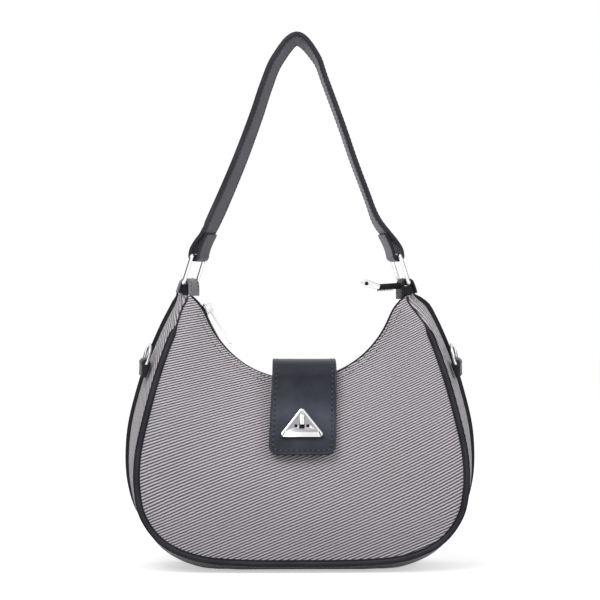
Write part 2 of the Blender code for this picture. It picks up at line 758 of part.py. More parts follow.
def flap_strip(line, thickness, depth, start_trim=0.0):
    """A closed strip along the line, with rounded corners at its end. Depth is its distance under the line."""
    length = np.concatenate([[0], np.cumsum(np.linalg.norm(np.diff(line, axis=0), axis=1))])
    total = length[-1]
    corner = FLAP_CORNER_RADIUS
    places = list(np.linspace(start_trim, total - corner, FLAP_STEPS + 1))
    places += [total - corner * share for share in FLAP_CORNER_SHARES]
    line = np.column_stack([np.interp(places, length, line[:, axis]) for axis in (0, 1)])
    along = directions(line)
    under = np.column_stack([-along[:, 1], along[:, 0]])
    surfaces = []
    for offset in (depth - thickness / 2, depth + thickness / 2):
        rows = []
        for place, centre, inward in zip(places, line, under):
            half = blend(FLAP_TOP_HALF_WIDTH, FLAP_END_HALF_WIDTH, place / total)
            past = max(0, place - (total - corner)) / corner
            half -= corner * (1 - math.sqrt(max(0, 1 - past**2)))
            at = centre + inward * offset
            rows.append([(x * half, at[0], at[1]) for x in np.linspace(-1, 1, FLAP_COLUMNS + 1)])
        surfaces.append(np.array(rows))
    return grid_shell(*surfaces)


def make_flap(material, lining_material):
    line = flap_line()
    hinge = (0, HINGE_YZ[0], HINGE_YZ[1])
    points, faces = flap_strip(line, FLAP_THICKNESS, 0)
    flap = new_object("flap", points, faces, material, hinge)
    under = FLAP_THICKNESS / 2 + SEAM_GAP + FLAP_LINING_THICKNESS / 2
    points, faces = flap_strip(line, FLAP_LINING_THICKNESS, under, FLAP_THICKNESS * 2)
    lining = new_object("flap_lining", points, faces, lining_material, hinge)
    for host in (flap, lining):
        cut_window(host)


def make_flap_anchor(material):
    """The flap's sewn root, flat on the back panel and bent up to the hinge."""
    top_gap = FLAP_THICKNESS / 2 + SEAM_GAP
    stand = FLAP_ROOT_GAP + FLAP_THICKNESS / 2
    low = MOUTH_LOW_Z - FLAP_ROOT_LENGTH
    heights = np.linspace(low, MOUTH_LOW_Z - FLAP_ROOT_GAP, 4)
    line = [(panel_reach(BACK_SEAM, 1, BACK_BELLY, z, FLAP_TOP_HALF_WIDTH) + stand, z) for z in heights]
    line.append((HINGE_YZ[0], HINGE_YZ[1] - top_gap))
    line = smooth_curve(line, FLAP_STEPS // 2)
    along = directions(line)
    beside = np.column_stack([along[:, 1], -along[:, 0]])
    surfaces = []
    for offset in (-FLAP_THICKNESS / 2, FLAP_THICKNESS / 2):
        edge = line + beside * offset
        widths = np.linspace(-FLAP_TOP_HALF_WIDTH, FLAP_TOP_HALF_WIDTH, 3)
        surfaces.append(np.array([[(x, y, z) for x in widths] for y, z in edge]))
    points, faces = grid_shell(*surfaces)
    new_object("flap_anchor", points, faces, material)


# Lock, in a frame on the flap: across, up the flap, and out from it

LOCK_UP = unit((0, *(FLAP_FRONT_TOP - FLAP_END)))
LOCK_OUT = np.cross(X_AXIS, LOCK_UP)
LOCK_AT = blend(np.array((0, *FLAP_FRONT_TOP)), np.array((0, *FLAP_END)), LOCK_SHARE)
LOCK_AXES = (X_AXIS, LOCK_UP, LOCK_OUT)


def on_lock(x, up, out):
    return LOCK_AT + X_AXIS * x + LOCK_UP * up + LOCK_OUT * out


def cut_window(host):
    """The opening behind the lock, which the post moves through as the flap lifts."""
    top = POST_CENTRE + POST_RADIUS + WINDOW_ABOVE
    bottom = POST_CENTRE - POST_RADIUS - WINDOW_BELOW
    size = (2 * WINDOW_HALF_WIDTH, top - bottom, CUT_OVERRUN * 2)
    box_cutter(host.name + "_cutter", on_lock(0, (top + bottom) / 2, 0), size, LOCK_AXES, host)


def make_lock_plate(material):
    """A triangle, point up, with a slot for the sliding button."""
    low = FLAP_THICKNESS / 2 + SEAM_GAP
    base = -LOCK_HEIGHT / 2
    half = LOCK_WIDTH / 2 + LOCK_CORNER
    corners = [(-half, base), (half, base), (0, base + LOCK_HEIGHT + LOCK_CORNER)]
    outline = rounded_polygon(corners, LOCK_CORNER, CORNER_STEPS)
    half_slot = BUTTON_WIDTH / 2 + BUTTON_CLEARANCE
    bottom = SLOT_TOP - SLOT_LENGTH
    top = SLOT_TOP - half_slot
    slot = [(-half_slot, bottom), (half_slot, bottom), (half_slot, top), (-half_slot, top)]
    points, faces = slab([outline, slot], low, low + LOCK_THICKNESS, on_lock)
    plate = new_object("lock_plate", points, faces, material, tuple(LOCK_AT), smooth=False)
    bevel = plate.modifiers.new("rim", "BEVEL")
    bevel.width = LOCK_BEVEL
    bevel.segments = 1
    bevel.limit_method = "ANGLE"
    bevel.angle_limit = BEVEL_ANGLE


def make_lock_button(material):
    half = BUTTON_WIDTH / 2
    low = FLAP_THICKNESS / 2 + SEAM_GAP * 2
    top = SLOT_TOP - half - BUTTON_CLEARANCE * 2
    bottom = top - BUTTON_LENGTH
    corners = [(-half, bottom), (half, bottom), (half, top), (-half, top)]
    outline = rounded_polygon(corners, half / 3, CORNER_STEPS // 2)
    points, faces = slab([outline], low, low + LOCK_THICKNESS + BUTTON_STAND, on_lock)
    new_object("lock_button", points, faces, material, tuple(LOCK_AT), smooth=False)


def make_lock_back(material):
    """The plate behind the flap that the lock is riveted to."""
    high = -(FLAP_THICKNESS / 2 + SEAM_GAP + FLAP_LINING_THICKNESS + SEAM_GAP)
    half_width, half_height = LOCK_BACK_WIDTH / 2, LOCK_BACK_HEIGHT / 2
    corners = [(-half_width, -half_height), (half_width, -half_height),
               (half_width, half_height), (-half_width, half_height)]
    outline = rounded_polygon(corners, LOCK_CORNER, CORNER_STEPS)
    top = POST_CENTRE + POST_RADIUS + WINDOW_ABOVE
    bottom = POST_CENTRE - POST_RADIUS - WINDOW_BELOW
    side = WINDOW_HALF_WIDTH
    window = [(-side, bottom), (side, bottom), (side, top), (-side, top)]
    points, faces = slab([outline, window], high - LOCK_BACK_THICKNESS, high, on_lock)
    new_object("lock_back_plate", points, faces, material, tuple(LOCK_AT), smooth=False)
    return high - LOCK_BACK_THICKNESS


def panel_behind_lock(radius):
    """Where the front panel's inner face is along the lock's axis, at its deepest near the post."""
    outer = panel_grid(FRONT_SEAM, -1, FRONT_BELLY, np.linspace(0, 1, PANEL_ROWS + 1))
    inner = outer + Y_AXIS * PANEL_THICKNESS
    between = [blend(inner[:, :-1], inner[:, 1:], share) for share in np.linspace(0, 1, ROUND_STEPS)]
    offsets = np.array(between).reshape(-1, 3) - LOCK_AT
    beside = np.hypot(offsets @ X_AXIS, offsets @ LOCK_UP - POST_CENTRE)
    return (offsets @ LOCK_OUT)[beside <= radius].min()


def make_lock_catch(material, back_of_plate):
    """The post on the front panel that the lock closes on, and the washer inside the bag."""
    front = back_of_plate - SEAM_GAP
    tip = FLAP_THICKNESS / 2 - SEAM_GAP
    back = front - CATCH_THICKNESS
    profile = [(CATCH_RADIUS, back), (CATCH_RADIUS, front), (POST_RADIUS, front), (POST_RADIUS, tip)]
    rings = []
    for radius, out in profile:
        rings.append([on_lock(x, y, out) for x, y in circle_points((0, POST_CENTRE), radius, ROUND_STEPS)])
    faces = []
    for i in range(len(rings) - 1):
        for j in range(ROUND_STEPS):
            a, b = i * ROUND_STEPS + j, i * ROUND_STEPS + (j + 1) % ROUND_STEPS
            faces.append((a, b, b + ROUND_STEPS, a + ROUND_STEPS))
    last = (len(rings) - 1) * ROUND_STEPS
    faces += [tuple(range(ROUND_STEPS)), tuple(last + j for j in range(ROUND_STEPS))]
    new_object("lock_catch", np.array(rings).reshape(-1, 3), faces, material)
    high = panel_behind_lock(WASHER_RADIUS) - WASHER_CLEARANCE
    loops = [circle_points((0, POST_CENTRE), WASHER_RADIUS, ROUND_STEPS),
             circle_points((0, POST_CENTRE), WASHER_BORE, ROUND_STEPS)]
    points, faces = slab(loops, high - WASHER_THICKNESS, high, on_lock)
    new_object("lock_catch_washer", points, faces, material)


# Rings, loops and strap

def ring_frame(x, yaw, side):
    """The lower bar's middle, the direction of the bars and the direction up the ring."""
    bar = np.array((side * math.sin(yaw), -math.cos(yaw), 0))
    lean = np.array((-side * math.cos(yaw), -math.sin(yaw), 0))
    up = Z_AXIS * math.cos(RING_LEAN) + lean * math.sin(RING_LEAN)
    return np.array((x, 0, RING_FOOT_Z)), bar, unit(up)


LEFT_RING = ring_frame(LEFT_RING_X, LEFT_RING_YAW, -1)
RIGHT_RING = ring_frame(RIGHT_RING_X, RIGHT_RING_YAW, 1)
BAR_SPACING = RING_HEIGHT - RING_WIRE


def make_ring(name, frame, material):
    foot, bar, up = frame
    half = (RING_LENGTH - RING_WIRE) / 2
    corners = [(-half, 0), (half, 0), (half, BAR_SPACING), (-half, BAR_SPACING)]
    loop = rounded_polygon(corners, RING_CORNER, CORNER_STEPS)
    path = np.array([foot + bar * x + up * y for x, y in loop])
    path = even_points(np.vstack([path, path[:1]]), len(loop) + 1)[:-1]
    wire = circle_points((0, 0), RING_WIRE / 2, TUBE_SIDES)
    points, faces = sweep(path, np.cross(bar, up), wire, closed=True)
    return new_object(name, points, faces, material, tuple(foot))


def make_horn_tab(name, frame, material):
    """A closed leather loop on top of the horn, round the ring's lower bar."""
    foot, bar, _ = frame
    across = unit(np.cross(bar, Z_AXIS))
    wall = HORN_TAB_THICKNESS
    base = BACK_SEAM[0, 1] + HORN_TAB_GAP - foot[2]
    top = RING_WIRE / 2 + HORN_BAR_CLEARANCE + wall
    half = HORN_TAB_LENGTH / 2
    crown = half * HORN_CROWN_SHARE
    corner = (top - base) * HORN_CORNER_SHARE
    outer = rounded_polygon([(-half, base), (half, base), (crown, top), (-crown, top)], corner, CORNER_STEPS)
    inside = [(-half + wall, base + wall), (half - wall, base + wall),
              (crown - wall, top - wall), (wall - crown, top - wall)]
    inner = rounded_polygon(inside, corner - wall, CORNER_STEPS)

    def place(x, z, y):
        return foot + across * x + Z_AXIS * z + bar * y

    points, faces = slab([outer, inner], -HORN_TAB_WIDTH / 2, HORN_TAB_WIDTH / 2, place)
    return new_object(name, points, faces, material)


def make_strap(material):
    """The arch of the strap, from fold to fold, leaning out at its near edge."""
    base = RING_FOOT_Z + BAR_SPACING * LEFT_RING[2][2]
    low = base + STRAP_END_HEIGHT + STRAP_SPLIT_GAP
    ends = [strap_top(LEFT_RING), strap_top(RIGHT_RING)]
    table = [(x * STRAP_HALF_SPAN, base + z * STRAP_RISE) for x, z in STRAP_SHARES]
    path = [(ends[0][0], low)] + table + [(ends[1][0], low)]
    path = smooth_curve(path, STRAP_STEPS + 1)
    tilt_stops = (STRAP_LEFT_TILT, STRAP_TOP_TILT, STRAP_RIGHT_TILT)
    tilts = np.interp(np.linspace(0, 1, len(path)), (0, 0.5, 1), tilt_stops)
    along = directions(path)
    out = np.column_stack([-along[:, 1], along[:, 0]])
    leans = in_space(out) * np.sin(tilts)[:, None]
    across = leans - Y_AXIS * np.cos(tilts)[:, None]
    half_width, half = STRAP_WIDTH / 2, STRAP_THICKNESS / 2
    section = [(-half_width, -half), (half_width, -half), (half_width, half), (-half_width, half)]
    points, faces = sweep(in_space(path), across, section)
    new_object("strap", points, faces, material, (0, 0, low))


def strap_top(frame):
    """Where the middle of the folded end meets the arch."""
    foot, _, up = frame
    upper = foot + up * BAR_SPACING
    side = math.copysign(1, foot[0])
    return upper + np.array((-side * STRAP_END_HEIGHT * STRAP_LEAN_SHARE, 0, STRAP_END_HEIGHT))


def make_strap_end(name, frame, material):
    """The end of the strap, folded round the ring's upper bar and sewn to itself."""
    foot, bar, up = frame
    upper = foot + up * BAR_SPACING
    side = math.copysign(1, foot[0])
    inward = np.array((-side * abs(bar[1]), -side * bar[0], 0))
    inward = unit(inward - bar * (inward @ bar))
    target = strap_top(frame) - upper
    lean = target @ inward
    hole_radius = RING_WIRE / 2 + STRAP_BAR_CLEARANCE
    outer_radius = hole_radius + STRAP_FOLD_THICKNESS
    half = STRAP_THICKNESS / 2
    top = STRAP_END_HEIGHT
    outer = arc_points((0, 0), outer_radius, math.pi, 2 * math.pi, CORNER_STEPS * 2)
    outer += [(lean + half + STRAP_FOLD_THICKNESS, top), (lean - half, top)]
    hole = circle_points((0, 0), hole_radius, ROUND_STEPS // 2)

    def place(x, z, y):
        return upper + inward * x + Z_AXIS * z + bar * y

    half_width = RING_LENGTH / 2 - RING_WIRE - STRAP_SIDE_PLAY
    points, faces = slab([outer, hole], -half_width, half_width, place)
    return new_object(name, points, faces, material)


def side_frame(side):
    """A place on the gusset near its top: the point, outward, up along the gusset, and across it."""
    grid, _ = gusset_grid()
    column = grid[:, GUSSET_ROWS // 2]
    half = column[:ALONG // 2 + 1] if side < 0 else column[ALONG // 2:][::-1]
    height = SIDE_TAB_SHARE * HORN_HEIGHT
    order = np.argsort(half[:, 2])
    half = half[order]
    at = np.array([np.interp(height, half[:, 2], half[:, axis]) for axis in range(3)])
    above = np.array([np.interp(height + SIDE_TAB_LENGTH, half[:, 2], half[:, axis]) for axis in range(3)])
    up = unit(above - at)
    on_side = np.where(np.sign(column[:, 0]) == side, np.abs(column[:, 2] - height), np.inf)
    ends = grid[np.argmin(on_side)]
    across = unit(ends[-1] - ends[0])
    across = unit(across - up * (across @ up))
    out = np.cross(up, across)
    out = out if out[0] * side > 0 else -out
    return at, out, up, across


def make_side_loop(side, leather, metal):
    """A leather tab on the gusset and the D-ring that it holds."""
    word = "left" if side < 0 else "right"
    at, out, up, across = side_frame(side)
    bore = D_RING_WIRE / 2 + SIDE_BAR_CLEARANCE
    head = bore + SIDE_TAB_THICKNESS
    pivot_out = head + SIDE_TAB_GAP
    tail = -SIDE_TAB_LENGTH

    def on_tab(x, z, y):
        return at + out * (pivot_out + x) + up * z + across * y

    outline = arc_points((0, 0), head, -math.pi / 4, math.pi, CORNER_STEPS * 2)
    outline += [(-head, tail), (-head + SIDE_TAB_THICKNESS * 2, tail)]
    points, faces = slab([outline, circle_points((0, 0), bore, ROUND_STEPS // 2)],
                         -SIDE_TAB_WIDTH / 2, SIDE_TAB_WIDTH / 2, on_tab)
    new_object("side_tab_" + word, points, faces, leather)
    half = (D_RING_WIDTH - D_RING_WIRE) / 2
    reach = D_RING_HEIGHT - D_RING_WIRE
    loop = [(-half, 0), (half, 0)] + arc_points((0, reach - half), half, 0, math.pi, CORNER_STEPS * 3)
    lean_up, lean_out = math.cos(D_RING_LEAN), math.sin(D_RING_LEAN)
    path = np.array([on_tab(y * lean_out, y * lean_up, x) for x, y in loop])
    path = even_points(np.vstack([path, path[:1]]), ROUND_STEPS + CORNER_STEPS + 1)[:-1]
    wire = circle_points((0, 0), D_RING_WIRE / 2, TUBE_SIDES)
    points, faces = sweep(path, out * lean_up - up * lean_out, wire, closed=True)
    new_object("d_ring_" + word, points, faces, metal, tuple(on_tab(0, 0, 0)))


def main():
    for thing in list(bpy.data.objects):
        bpy.data.objects.remove(thing)
    made = make_materials()
    make_panel("front_panel", FRONT_SEAM, -1, FRONT_BELLY, made["twill"])
    make_panel("back_panel", BACK_SEAM, 1, BACK_BELLY, made["twill"])
    make_gusset(made["twill"])
    make_piping("front_piping", FRONT_SEAM, -1, made["leather"])
    make_piping("back_piping", BACK_SEAM, 1, made["leather"])
    make_lining(made["lining"])
    make_zip_tape("zip_tape_front", -1, made["tape"])
    make_zip_tape("zip_tape_back", 1, made["tape"])
    make_zip_slider(made["metal"])
    make_zip_puller(made["metal"])
    make_zip_stop("zip_stop_front", -1, made["metal"])
    make_zip_stop("zip_stop_back", 1, made["metal"])
    make_zip_tail(made["leather"], made["metal"])
    make_flap(made["leather"], made["lining"])
    make_flap_anchor(made["leather"])
    make_lock_plate(made["metal"])
    make_lock_button(made["metal"])
    back_of_plate = make_lock_back(made["metal"])
    make_lock_catch(made["metal"], back_of_plate)
    for word, frame in (("left", LEFT_RING), ("right", RIGHT_RING)):
        make_ring("strap_ring_" + word, frame, made["metal"])
        make_horn_tab("horn_tab_" + word, frame, made["leather"])
        make_strap_end("strap_end_" + word, frame, made["leather"])
    make_strap(made["leather"])
    for side in (-1, 1):
        make_side_loop(side, made["leather"], made["metal"])


main()
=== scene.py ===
# %% [markdown]
# # A baguette shoulder bag, dressed over its CAD frame
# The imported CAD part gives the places, the joints and the sizes. Here each soft piece gets a finer mesh, and
# each surface gets the finish of the real one: twill with fine slanted lines, dark leather, thread and bright
# metal. Everything is in metres, with Z up, and the bag faces -Y.

import math

import bmesh
import bpy
import numpy as np
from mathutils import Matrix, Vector
from mathutils.geometry import tessellate_polygon


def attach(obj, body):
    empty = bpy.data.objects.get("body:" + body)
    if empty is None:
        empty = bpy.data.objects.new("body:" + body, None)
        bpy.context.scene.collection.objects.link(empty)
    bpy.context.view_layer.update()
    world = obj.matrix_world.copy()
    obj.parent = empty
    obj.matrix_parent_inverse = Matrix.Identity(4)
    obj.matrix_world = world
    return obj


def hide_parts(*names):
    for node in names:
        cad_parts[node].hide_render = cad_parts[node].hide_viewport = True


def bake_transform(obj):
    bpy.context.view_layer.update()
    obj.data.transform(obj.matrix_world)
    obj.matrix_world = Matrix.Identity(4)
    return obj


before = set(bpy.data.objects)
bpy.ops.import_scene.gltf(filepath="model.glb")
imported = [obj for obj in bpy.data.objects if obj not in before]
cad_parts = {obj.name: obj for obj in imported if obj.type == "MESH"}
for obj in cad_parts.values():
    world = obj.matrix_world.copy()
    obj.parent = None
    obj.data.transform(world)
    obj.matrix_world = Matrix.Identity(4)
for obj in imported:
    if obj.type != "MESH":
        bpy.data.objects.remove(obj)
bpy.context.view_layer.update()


# %% Small helpers for objects and nodes
def new_object(name, data):
    """An object for the data, linked into the scene."""
    thing = bpy.data.objects.new(name, data)
    bpy.context.scene.collection.objects.link(thing)
    return thing


def set_inputs(tree, node, inputs):
    """Gives a node's inputs, by name or number, a value or a link from another node's socket."""
    for key, value in inputs.items():
        if isinstance(value, bpy.types.NodeSocket):
            tree.links.new(value, node.inputs[key])
        else:
            node.inputs[key].default_value = value


def node_of(tree, kind, inputs=None, **settings):
    node = tree.nodes.new(kind)
    for key, value in settings.items():
        setattr(node, key, value)
    set_inputs(tree, node, inputs or {})
    return node


def math_of(tree, operation, *values):
    """The result of a Math node on sockets or numbers."""
    return node_of(tree, "ShaderNodeMath", dict(enumerate(values)), operation=operation).outputs[0]


def mix_shader(tree, share, first, second):
    return node_of(tree, "ShaderNodeMixShader", {0: share, 1: first.outputs[0], 2: second.outputs[0]})


def for_eyes_only(tree):
    """One where a camera, a mirror or glass looks, and nought where the surface only gives light."""
    rays = node_of(tree, "ShaderNodeLightPath").outputs
    seen = math_of(tree, "MAXIMUM", rays["Is Camera Ray"], rays["Is Glossy Ray"])
    return math_of(tree, "MAXIMUM", seen, rays["Is Transmission Ray"])


def grey(level):
    return (level, level, level, 1)


print("helpers ready")

# %% [markdown]
# ## Camera, floor and light
# The picture is a plain catalogue view: a long lens, level with the middle of the bag and a degree to its
# left, on white. One could light it with a single strong lamp, but leather and metal then show one hard spot.
# A pale sky all round with two large soft lamps shows their form and keeps the colours as they are written.
# Bright metal would look flat white in it, so mirrors alone see two dark boards, one on each side.

# %% Camera
CAMERA_DISTANCE = 1.6
CAMERA_HEIGHT = 0.2112
CAMERA_TURN = math.radians(-1.1)
SENSOR = 36.0
FRAME_WIDTH = 0.4758
PICTURE_PIXELS = 600

lens = bpy.data.cameras.new("camera")
lens.sensor_width = SENSOR
lens.lens = SENSOR * CAMERA_DISTANCE / FRAME_WIDTH
lens.shift_x = -1 / PICTURE_PIXELS
lens.clip_start = 0.05
camera = new_object("camera", lens)
side_step, step_back = CAMERA_DISTANCE * math.sin(CAMERA_TURN), CAMERA_DISTANCE * math.cos(CAMERA_TURN)
camera.location = (side_step, -step_back, CAMERA_HEIGHT)
camera.rotation_euler = (math.pi / 2, 0, CAMERA_TURN)
bpy.context.scene.camera = camera
bpy.context.scene.view_settings.view_transform = "Standard"
print("lens", round(lens.lens, 1), "mm")

# %% White all round
SKY_SEEN = 1.0
SKY_LIGHT = 0.62
MIRROR_BRIGHT, MIRROR_DARK = 1.0, 0.10
BOARD_START, BOARD_END = 0.50, 0.78

world = bpy.data.worlds.new("studio")
world.use_nodes = True
bpy.context.scene.world = world
tree = world.node_tree
tree.nodes.clear()
seen, lit = (
    node_of(tree, "ShaderNodeBackground", {"Color": grey(1), "Strength": strength})
    for strength in (SKY_SEEN, SKY_LIGHT)
)
heading = node_of(tree, "ShaderNodeSeparateXYZ", {0: node_of(tree, "ShaderNodeTexCoord").outputs["Generated"]})
levels = {"From Min": BOARD_START, "From Max": BOARD_END, "To Min": MIRROR_BRIGHT, "To Max": MIRROR_DARK}
levels["Value"] = math_of(tree, "ABSOLUTE", heading.outputs[0])
boards = node_of(tree, "ShaderNodeMapRange", levels, interpolation_type="SMOOTHSTEP")
mirrored = node_of(tree, "ShaderNodeBackground", {"Color": grey(1), "Strength": boards.outputs["Result"]})
plain_sky = mix_shader(tree, for_eyes_only(tree), lit, seen)
glossy_ray = node_of(tree, "ShaderNodeLightPath").outputs["Is Glossy Ray"]
node_of(tree, "ShaderNodeOutputWorld", {0: mix_shader(tree, glossy_ray, plain_sky, mirrored).outputs[0]})
print("sky ready")

# %% Floor
FLOOR_SIZE = 12.0
FLOOR_COLOUR = 0.80
FLOOR_GLOW = 0.50
FLOOR_BOUNCE = 0.30
FLOOR_DROP = 0.0004

floor_material = bpy.data.materials.new("floor")
floor_material.use_nodes = True
tree = floor_material.node_tree
tree.nodes.clear()
paint, bounce = (
    node_of(tree, "ShaderNodeBsdfDiffuse", {"Color": grey(level)}) for level in (FLOOR_COLOUR, FLOOR_BOUNCE)
)
glow = node_of(tree, "ShaderNodeEmission", {"Strength": FLOOR_GLOW})
both = node_of(tree, "ShaderNodeAddShader", {0: paint.outputs[0], 1: glow.outputs[0]})
chosen = mix_shader(tree, for_eyes_only(tree), bounce, both)
node_of(tree, "ShaderNodeOutputMaterial", {0: chosen.outputs[0]})

floor_mesh = bpy.data.meshes.new("floor")
half = FLOOR_SIZE / 2
corners = [(x * half, y * half, 0) for x, y in ((-1, -1), (1, -1), (1, 1), (-1, 1))]
floor_mesh.from_pydata(corners, [], [(0, 1, 2, 3)])
floor_mesh.materials.append(floor_material)
floor = new_object("floor", floor_mesh)
floor.location.z = -FLOOR_DROP
print("floor", FLOOR_SIZE, "m")


# %% Two soft lamps
def add_lamp(name, place, target, size, watts):
    data = bpy.data.lights.new(name, "AREA")
    data.size, data.energy = size, watts
    lamp = new_object(name, data)
    lamp.location = place
    lamp.rotation_euler = (Vector(target) - Vector(place)).to_track_quat("-Z", "Y").to_euler()


add_lamp("key_lamp", (-0.6, -1.1, 1.4), (0, 0, 0.15), 1.0, 12)
add_lamp("side_lamp", (1.2, -0.9, 0.8), (0, 0, 0.2), 0.8, 5)
print("lamps ready")

# %% [markdown]
# ## The finishes
# Each finish is a node material. Pictures could be wrapped on instead, but nodes stay sharp at any distance
# and can be edited by their numbers. Cloth reads the UV map of its piece, because its lines follow the
# fabric. Leather, metal and thread read the object's own coordinates, in metres.


# %% Material helpers
def new_material(name, values):
    """A material, its tree and its shader, whose even values are set on the shader's own sockets."""
    material = bpy.data.materials.new(name)
    material.use_nodes = True
    tree = material.node_tree
    shader = tree.nodes["Principled BSDF"]
    set_inputs(tree, shader, values)
    return material, tree, shader


def scaled(colour, factor, added=0.0):
    return tuple(value * factor + added for value in colour)


def colour_ramp(tree, factor, stops):
    """A colour ramp through (place, colour) stops."""
    stops = list(stops)
    ramp = node_of(tree, "ShaderNodeValToRGB", {0: factor})
    elements = ramp.color_ramp.elements
    while len(elements) < len(stops):
        elements.new(0.5)
    for element, (place, colour) in zip(elements, stops):
        element.position = place
        element.color = (*colour, 1)
    return ramp.outputs[0]


def bump(tree, height, distance, strength):
    values = {"Strength": strength, "Distance": distance, "Height": height}
    return node_of(tree, "ShaderNodeBump", values).outputs[0]


def noise(tree, place, scale, detail=2.0, roughness=0.5):
    values = {"Scale": scale, "Detail": detail, "Roughness": roughness, "Vector": place}
    return node_of(tree, "ShaderNodeTexNoise", values).outputs[0]


def own_place(tree):
    """The object's own coordinates, whole and as three numbers."""
    place = node_of(tree, "ShaderNodeTexCoord").outputs["Object"]
    return place, node_of(tree, "ShaderNodeSeparateXYZ", {0: place}).outputs


print("material helpers ready")

# %% [markdown]
# ### Twill
# The cloth is a two-tone twill: pale mauve-grey yarn with a dark yarn that shows as fine slanted lines, about
# five to the centimetre. A wave texture could draw plain bands. Here the UV map counts lines across V and
# yarns along U, so each line can be broken into the short floats of a real weave, with a little unevenness.

# %% Twill material
TWILL_FINISH = {"Roughness": 0.85, "Sheen Weight": 0.25, "Sheen Roughness": 0.5}
TWILL_STOPS = (0.14, 0.47, 0.78)
UNEVEN_LINES = 0.35
YARN_SHARE = 0.22
FUZZ_SHARE = 1.9


def make_twill(name, pale, shade):
    material, tree, shader = new_material(name, TWILL_FINISH)
    cloth = node_of(tree, "ShaderNodeUVMap", uv_map="cloth").outputs[0]
    yarn, line, _ = node_of(tree, "ShaderNodeSeparateXYZ", {0: cloth}).outputs
    line = math_of(tree, "MULTIPLY_ADD", noise(tree, cloth, 0.55), UNEVEN_LINES, line)
    line_wave, yarn_wave = (
        math_of(tree, "COSINE", math_of(tree, "MULTIPLY", count, 2 * math.pi))
        for count in (line, math_of(tree, "ADD", yarn, line))
    )
    mixed = math_of(tree, "MULTIPLY_ADD", yarn_wave, YARN_SHARE, line_wave)
    fuzz = math_of(tree, "SUBTRACT", noise(tree, cloth, 5.0, 3.0, 0.7), 0.5)
    mixed = math_of(tree, "MULTIPLY_ADD", fuzz, FUZZ_SHARE, mixed)
    level = math_of(tree, "MULTIPLY_ADD", mixed, 0.5, 0.5)
    middle = tuple((p + s) / 2 for p, s in zip(pale, shade))
    colour = colour_ramp(tree, level, zip(TWILL_STOPS, (shade, middle, pale)))
    set_inputs(tree, shader, {"Base Color": colour, "Normal": bump(tree, level, 0.0003, 0.7)})
    return material


twill = make_twill("grey_twill", (0.76, 0.715, 0.76), (0.038, 0.032, 0.041))
print("made", twill.name)

# %% [markdown]
# ### Leather
# The trim is smooth dark leather with a soft shine and a fine pebble that only shows up close. Two noises of
# different size make the pebble and the cloudy wear. Most edges that catch the light come from the mesh itself;
# the flap's lighter rim is a painted highlight. The flap, the horn loops and the strap's lining also get
# painted sheen and shade, lighter and darker along one axis.

# %% Leather material
CLOUD_ROUGHNESS = 0.22
CLOUD_SCALE, PORE_SCALE, CREASE_SCALE = 45.0, 1300.0, 420.0


def make_leather(name, colour, roughness, shine=0.20, sheen_and_shade_ramp=None, pebble=0.00010):
    """Leather with pores and creases. An axis ramp, where given, is an axis and the rising (place, level) stops
    of painted sheen and shade along it.
    """
    material, tree, shader = new_material(name, {"Roughness": roughness, "Specular IOR Level": shine})
    place, axes = own_place(tree)
    cloud = noise(tree, place, CLOUD_SCALE, 4.0)
    mottled = colour_ramp(tree, cloud, ((0.3, scaled(colour, 0.75)), (0.7, scaled(colour, 1.35, 0.004))))
    # Painted sheen and shade: a ramp along one axis multiplies the mottled colour, lighter where light falls
    # and darker where shade falls.
    if sheen_and_shade_ramp:
        axis, stops = sheen_and_shade_ramp
        near, length = stops[0][0], stops[-1][0] - stops[0][0]
        share = math_of(tree, "MULTIPLY_ADD", axes[axis], 1 / length, -near / length)
        wear_and_sheen = colour_ramp(tree, share, [((stop - near) / length, (level,) * 3) for stop, level in stops])
        both = {"Factor": 1.0, 6: mottled, 7: wear_and_sheen}
        mottled = node_of(tree, "ShaderNodeMix", both, data_type="RGBA", blend_type="MULTIPLY").outputs[2]
    pores = node_of(tree, "ShaderNodeTexVoronoi", {"Vector": place, "Scale": PORE_SCALE}, feature="F1")
    height = math_of(tree, "ADD", pores.outputs["Distance"], noise(tree, place, CREASE_SCALE, 5.0, 0.65))
    rough = math_of(tree, "MULTIPLY_ADD", cloud, CLOUD_ROUGHNESS, roughness - CLOUD_ROUGHNESS / 2)
    relief = bump(tree, height, pebble, 0.6)
    set_inputs(tree, shader, {"Base Color": mottled, "Roughness": rough, "Normal": relief})
    return material


# Painted sheen and shade on the flap: lightest at mid-height, darker towards its top and its foot, a little
# lighter again at the top bend.
FLAP_PAINTED_SHEEN = (2, ((0.084, 0.36), (0.104, 0.62), (0.122, 1.0), (0.140, 0.62), (0.152, 0.26), (0.158, 0.5)))
# Painted sheen on the horn loops: their leather is a much lighter copy of the black leather, lightest on the
# left horn and darkened nearly to black towards the right one.
LOOP_PAINTED_SHEEN = (0, ((-0.095, 1.0), (0.0, 0.05)))
# Painted sheen on the strap's lining: darker on the left leg, lighter on the right.
STRAP_PAINTED_SHEEN = (0, ((-0.02, 0.38), (0.02, 1.0)))
leather = make_leather("black_leather", (0.028, 0.027, 0.037), 0.40)
flap_leather = make_leather("flap_leather", (0.064, 0.068, 0.094), 0.38, 0.14, FLAP_PAINTED_SHEEN)
loop_leather_with_painted_sheen = make_leather("loop_leather_with_painted_sheen", (0.250, 0.250, 0.270), 0.45, sheen_and_shade_ramp=LOOP_PAINTED_SHEEN)
# This colour also paints the flap rim's highlight.
backing_leather_and_rim_highlight = make_leather("flap_backing_leather", (0.045, 0.046, 0.060), 0.50)
strap_outside = make_leather("strap_leather", (0.012, 0.012, 0.017), 0.40, 0.12)
strap_edge = make_leather("strap_edge", (0.030, 0.029, 0.037), 0.40)
